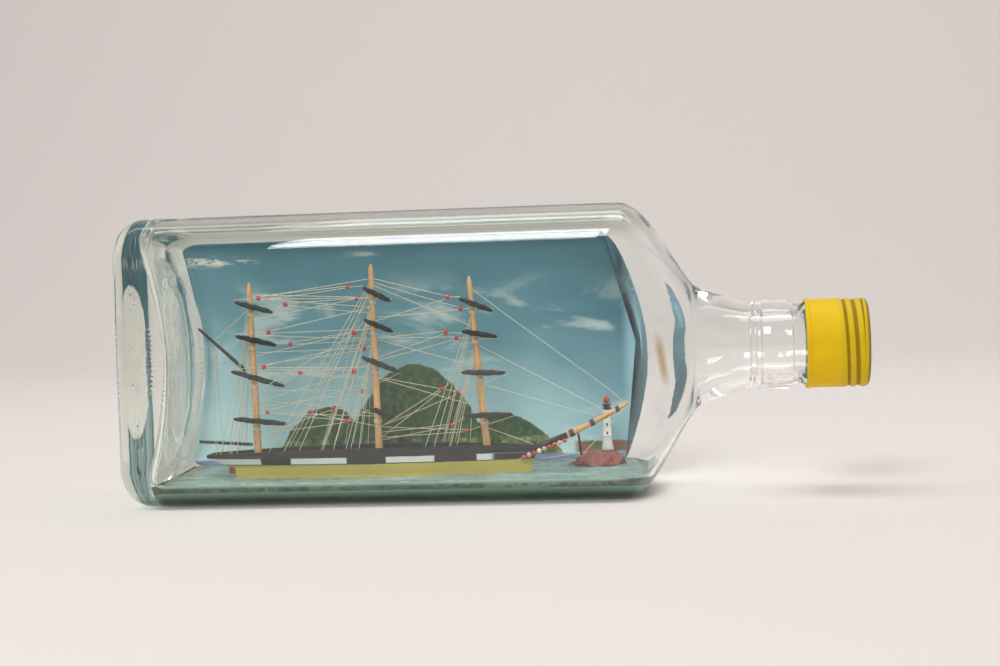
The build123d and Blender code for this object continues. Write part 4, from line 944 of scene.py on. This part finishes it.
def make_lighthouse():
    """Tower with a flared foot, gallery with its rail, and the red ball."""
    def spindle(node, profile, name, finish):
        low, high = (np.array(corner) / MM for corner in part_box(node))
        foot = np.array([(low[0] + high[0]) / 2, (low[1] + high[1]) / 2, low[2]])
        height, radius = np.array(profile).T
        turned = Shells().add(lathe(foot, foot + np.array([0, 0, high[2] - low[2]]), height, radius, 32))
        turned.piece(name, finish, node)
    tower = [
        (0, 2.5), (0.05, 2.5), (0.06, 2.35), (0.1, 2.2), (0.2, 1.9), (0.3, 1.7), (0.34, 1.66), (0.345, 1.78),
        (0.375, 1.78), (0.38, 1.62), (0.6, 1.55), (0.9, 1.5), (0.94, 1.6), (1.0, 1.75)]
    gallery = [
        (0, 1.5), (0.15, 1.9), (0.22, 2.05), (0.36, 2.05), (0.4, 1.3), (0.7, 1.3), (0.74, 1.85), (0.95, 1.85),
        (1, 1.5)]
    spindle("lighthouse_tower", tower, "lighthouse_tower_turned", "white_paint")
    spindle("lighthouse_gallery", gallery, "lighthouse_gallery_turned", "black_paint")
    bend = np.linspace(0.02, math.pi - 0.02, 20)
    ball = list(zip((1 - np.cos(bend)) / 2, 1.4 * np.sin(bend)))
    spindle("lighthouse_lamp", ball, "lighthouse_lamp_ball", "red_paint")


AS_IT_IS = {  # nodes that keep their CAD shape, and their finish
    "cap_liner": "liner_foam", "hull": "hull_paint", "bulwark": "black_paint", "rudder": "red_paint",
    "mast_staples": "brass_wire", "bowsprit_bands": "black_paint"}

make_bottle()
make_cap()
make_sea()
make_backdrop()
make_rock()
make_lighthouse()
for node, finish in AS_IT_IS.items():
    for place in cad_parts[node].material_slots:
        place.material = FINISHES[finish]
for order, mast in enumerate(("mizzen", "main", "fore")):
    make_mast(mast + "_mast")
    for level in range(4):
        make_yard(f"{mast}_yard_{level + 1}", order * 4 + level + 1)
    make_threads(mast + "_braces")
    make_threads(mast + "_shrouds")
    make_beads(mast + "_beads", [0.0])
make_beads("bow_beads", [0.0, 1.0, 0.0, 2.0, 1.0, 0.0])
for line in ("gaff_lines", "head_stays", "mast_stays", "bobstays", "bow_bead_line"):
    make_threads(line)
make_wraps()
boom = np.linspace(0, 1, 80)
gaff = np.linspace(0, 1, 60)
make_stick("bowsprit", "black_paint", [0, 1], [1.15, 1.15], upward=False)
make_stick("jibboom", "bare_wood", np.linspace(0, 1, 30), np.linspace(1.08, 0.75, 30), upward=False)
make_stick("dolphin_striker", "black_paint", [0, 0.5, 1], [0.36, 0.46, 0.4])
make_stick("spanker_gaff", "furled_sail", gaff,
           0.72 - 0.25 * gaff + 0.06 * smooth_noise(60, 31, 10), 18)
make_stick("spanker_boom", "furled_sail", boom,
           0.55 + 0.12 * np.cos(26 * math.pi * boom), 18, upward=False)


# ==== stage, light and camera
STAGE_HALF, STAGE_BEND, STAGE_TOP = 2600.0, 900.0, 3200.0
LAMPS = [  # name, place, what it points at, size and power
    ("softbox_top", (0.05, 0.1, 1.3), (0.03, 0, 0), (0.8, 0.5), 4.2),
    ("backdrop_wash", (0, 0.3, 1.5), (0, 1.8, 0.35), (2.4, 0.5), 10.5),
    ("softbox_front", (-0.167, -0.9, 0.8), (-0.05, 0, 0.08), (0.33, 0.4), 5.2),
]
CAMERA_TURN = (6.64, -2.0, 1.85)  # to the left, up and clockwise, in degrees
CAMERA_PLACE = (0.07165, -0.596, 0.0769)
CAMERA_LENS = 62.4
GLASS_BOUNCES = 32


def make_stage():
    """Pale floor that curves up into the backdrop."""
    paint = Paint("stage_paper")
    material = paint.finish(paint.mix(paint.noise(900, 1), (228, 221, 217), (225, 218, 214)), 0.95)
    bend = np.linspace(0, math.pi / 2, 16)
    y = np.concatenate([[-STAGE_HALF, -STAGE_BEND, 300.0, STAGE_BEND], STAGE_BEND * (1 + np.sin(bend)),
                        [2 * STAGE_BEND]])
    z = np.concatenate([[0.0] * 4, STAGE_BEND * (1 - np.cos(bend)), [STAGE_TOP]])
    x = np.linspace(-STAGE_HALF, STAGE_HALF, 9)
    points = np.stack(np.broadcast_arrays(x[None, :], y[:, None], z[:, None]), -1).reshape(-1, 3)
    wide = len(x)
    rows = np.arange(len(y) - 1)[:, None] * wide + np.arange(wide - 1)
    faces = np.stack([rows, rows + 1, rows + wide + 1, rows + wide], -1).reshape(-1, 4)
    mesh = bpy.data.meshes.new("stage_sweep")
    mesh.from_pydata((points * MM).tolist(), [], faces.tolist())
    mesh.polygons.foreach_set("use_smooth", np.ones(len(faces), bool))
    mesh.materials.append(material)
    stage = placed("stage_sweep", mesh)


def area_light(name, place, target, size, power):
    """A softbox; places and sizes are in metres, and power in watts."""
    lamp = bpy.data.lights.new(name, "AREA")
    lamp.shape = "RECTANGLE"
    lamp.size, lamp.size_y = size
    lamp.energy = power
    holder = placed(name, lamp)
    holder.location = place
    aim = np.array(target) - np.array(place)
    holder.rotation_euler = Vector(aim).to_track_quat("-Z", "Y").to_euler()


def make_world():
    """A pale studio, dimmer overhead and behind the camera."""
    world = bpy.data.worlds.new("studio")
    paint = Paint("studio", world)
    _, y, z = paint.axes(paint.node("ShaderNodeTexCoord"))
    light = (1 - 0.4 * paint.step(z, 0.15, 0.8)) * (0.6 + 0.4 * paint.step(y, -0.5, 0.1))
    colour = paint.mix(light, (0, 0, 0, 1), (1.0, 0.985, 0.975, 1))
    paint.output(paint.node("ShaderNodeBackground", None, {0: colour, 1: 0.9}), "ShaderNodeOutputWorld")
    bpy.context.scene.world = world


def make_camera():
    """The photograph's view: level-ish, turned a little to the left, and rolled."""
    yaw, pitch, roll = (math.radians(angle) for angle in CAMERA_TURN)
    forward = np.array([-math.sin(yaw) * math.cos(pitch), math.cos(yaw) * math.cos(pitch), math.sin(pitch)])
    level = np.array([math.cos(yaw), math.sin(yaw), 0])
    upright = np.cross(level, forward)
    right = level * math.cos(roll) - upright * math.sin(roll)
    up = level * math.sin(roll) + upright * math.cos(roll)
    camera = bpy.data.cameras.new("camera")
    camera.lens = CAMERA_LENS
    camera.sensor_width = 36.0
    camera.clip_end = 20.0
    holder = placed("camera", camera)
    holder.matrix_world = Matrix((*zip(right, up, -forward, CAMERA_PLACE), (0, 0, 0, 1)))
    bpy.context.scene.camera = holder


make_stage()
make_world()
for lamp in LAMPS:
    area_light(*lamp)
make_camera()
cycles = bpy.context.scene.cycles
cycles.max_bounces = cycles.transmission_bounces = cycles.glossy_bounces = GLASS_BOUNCES
bpy.context.scene.view_settings.view_transform = "Standard"
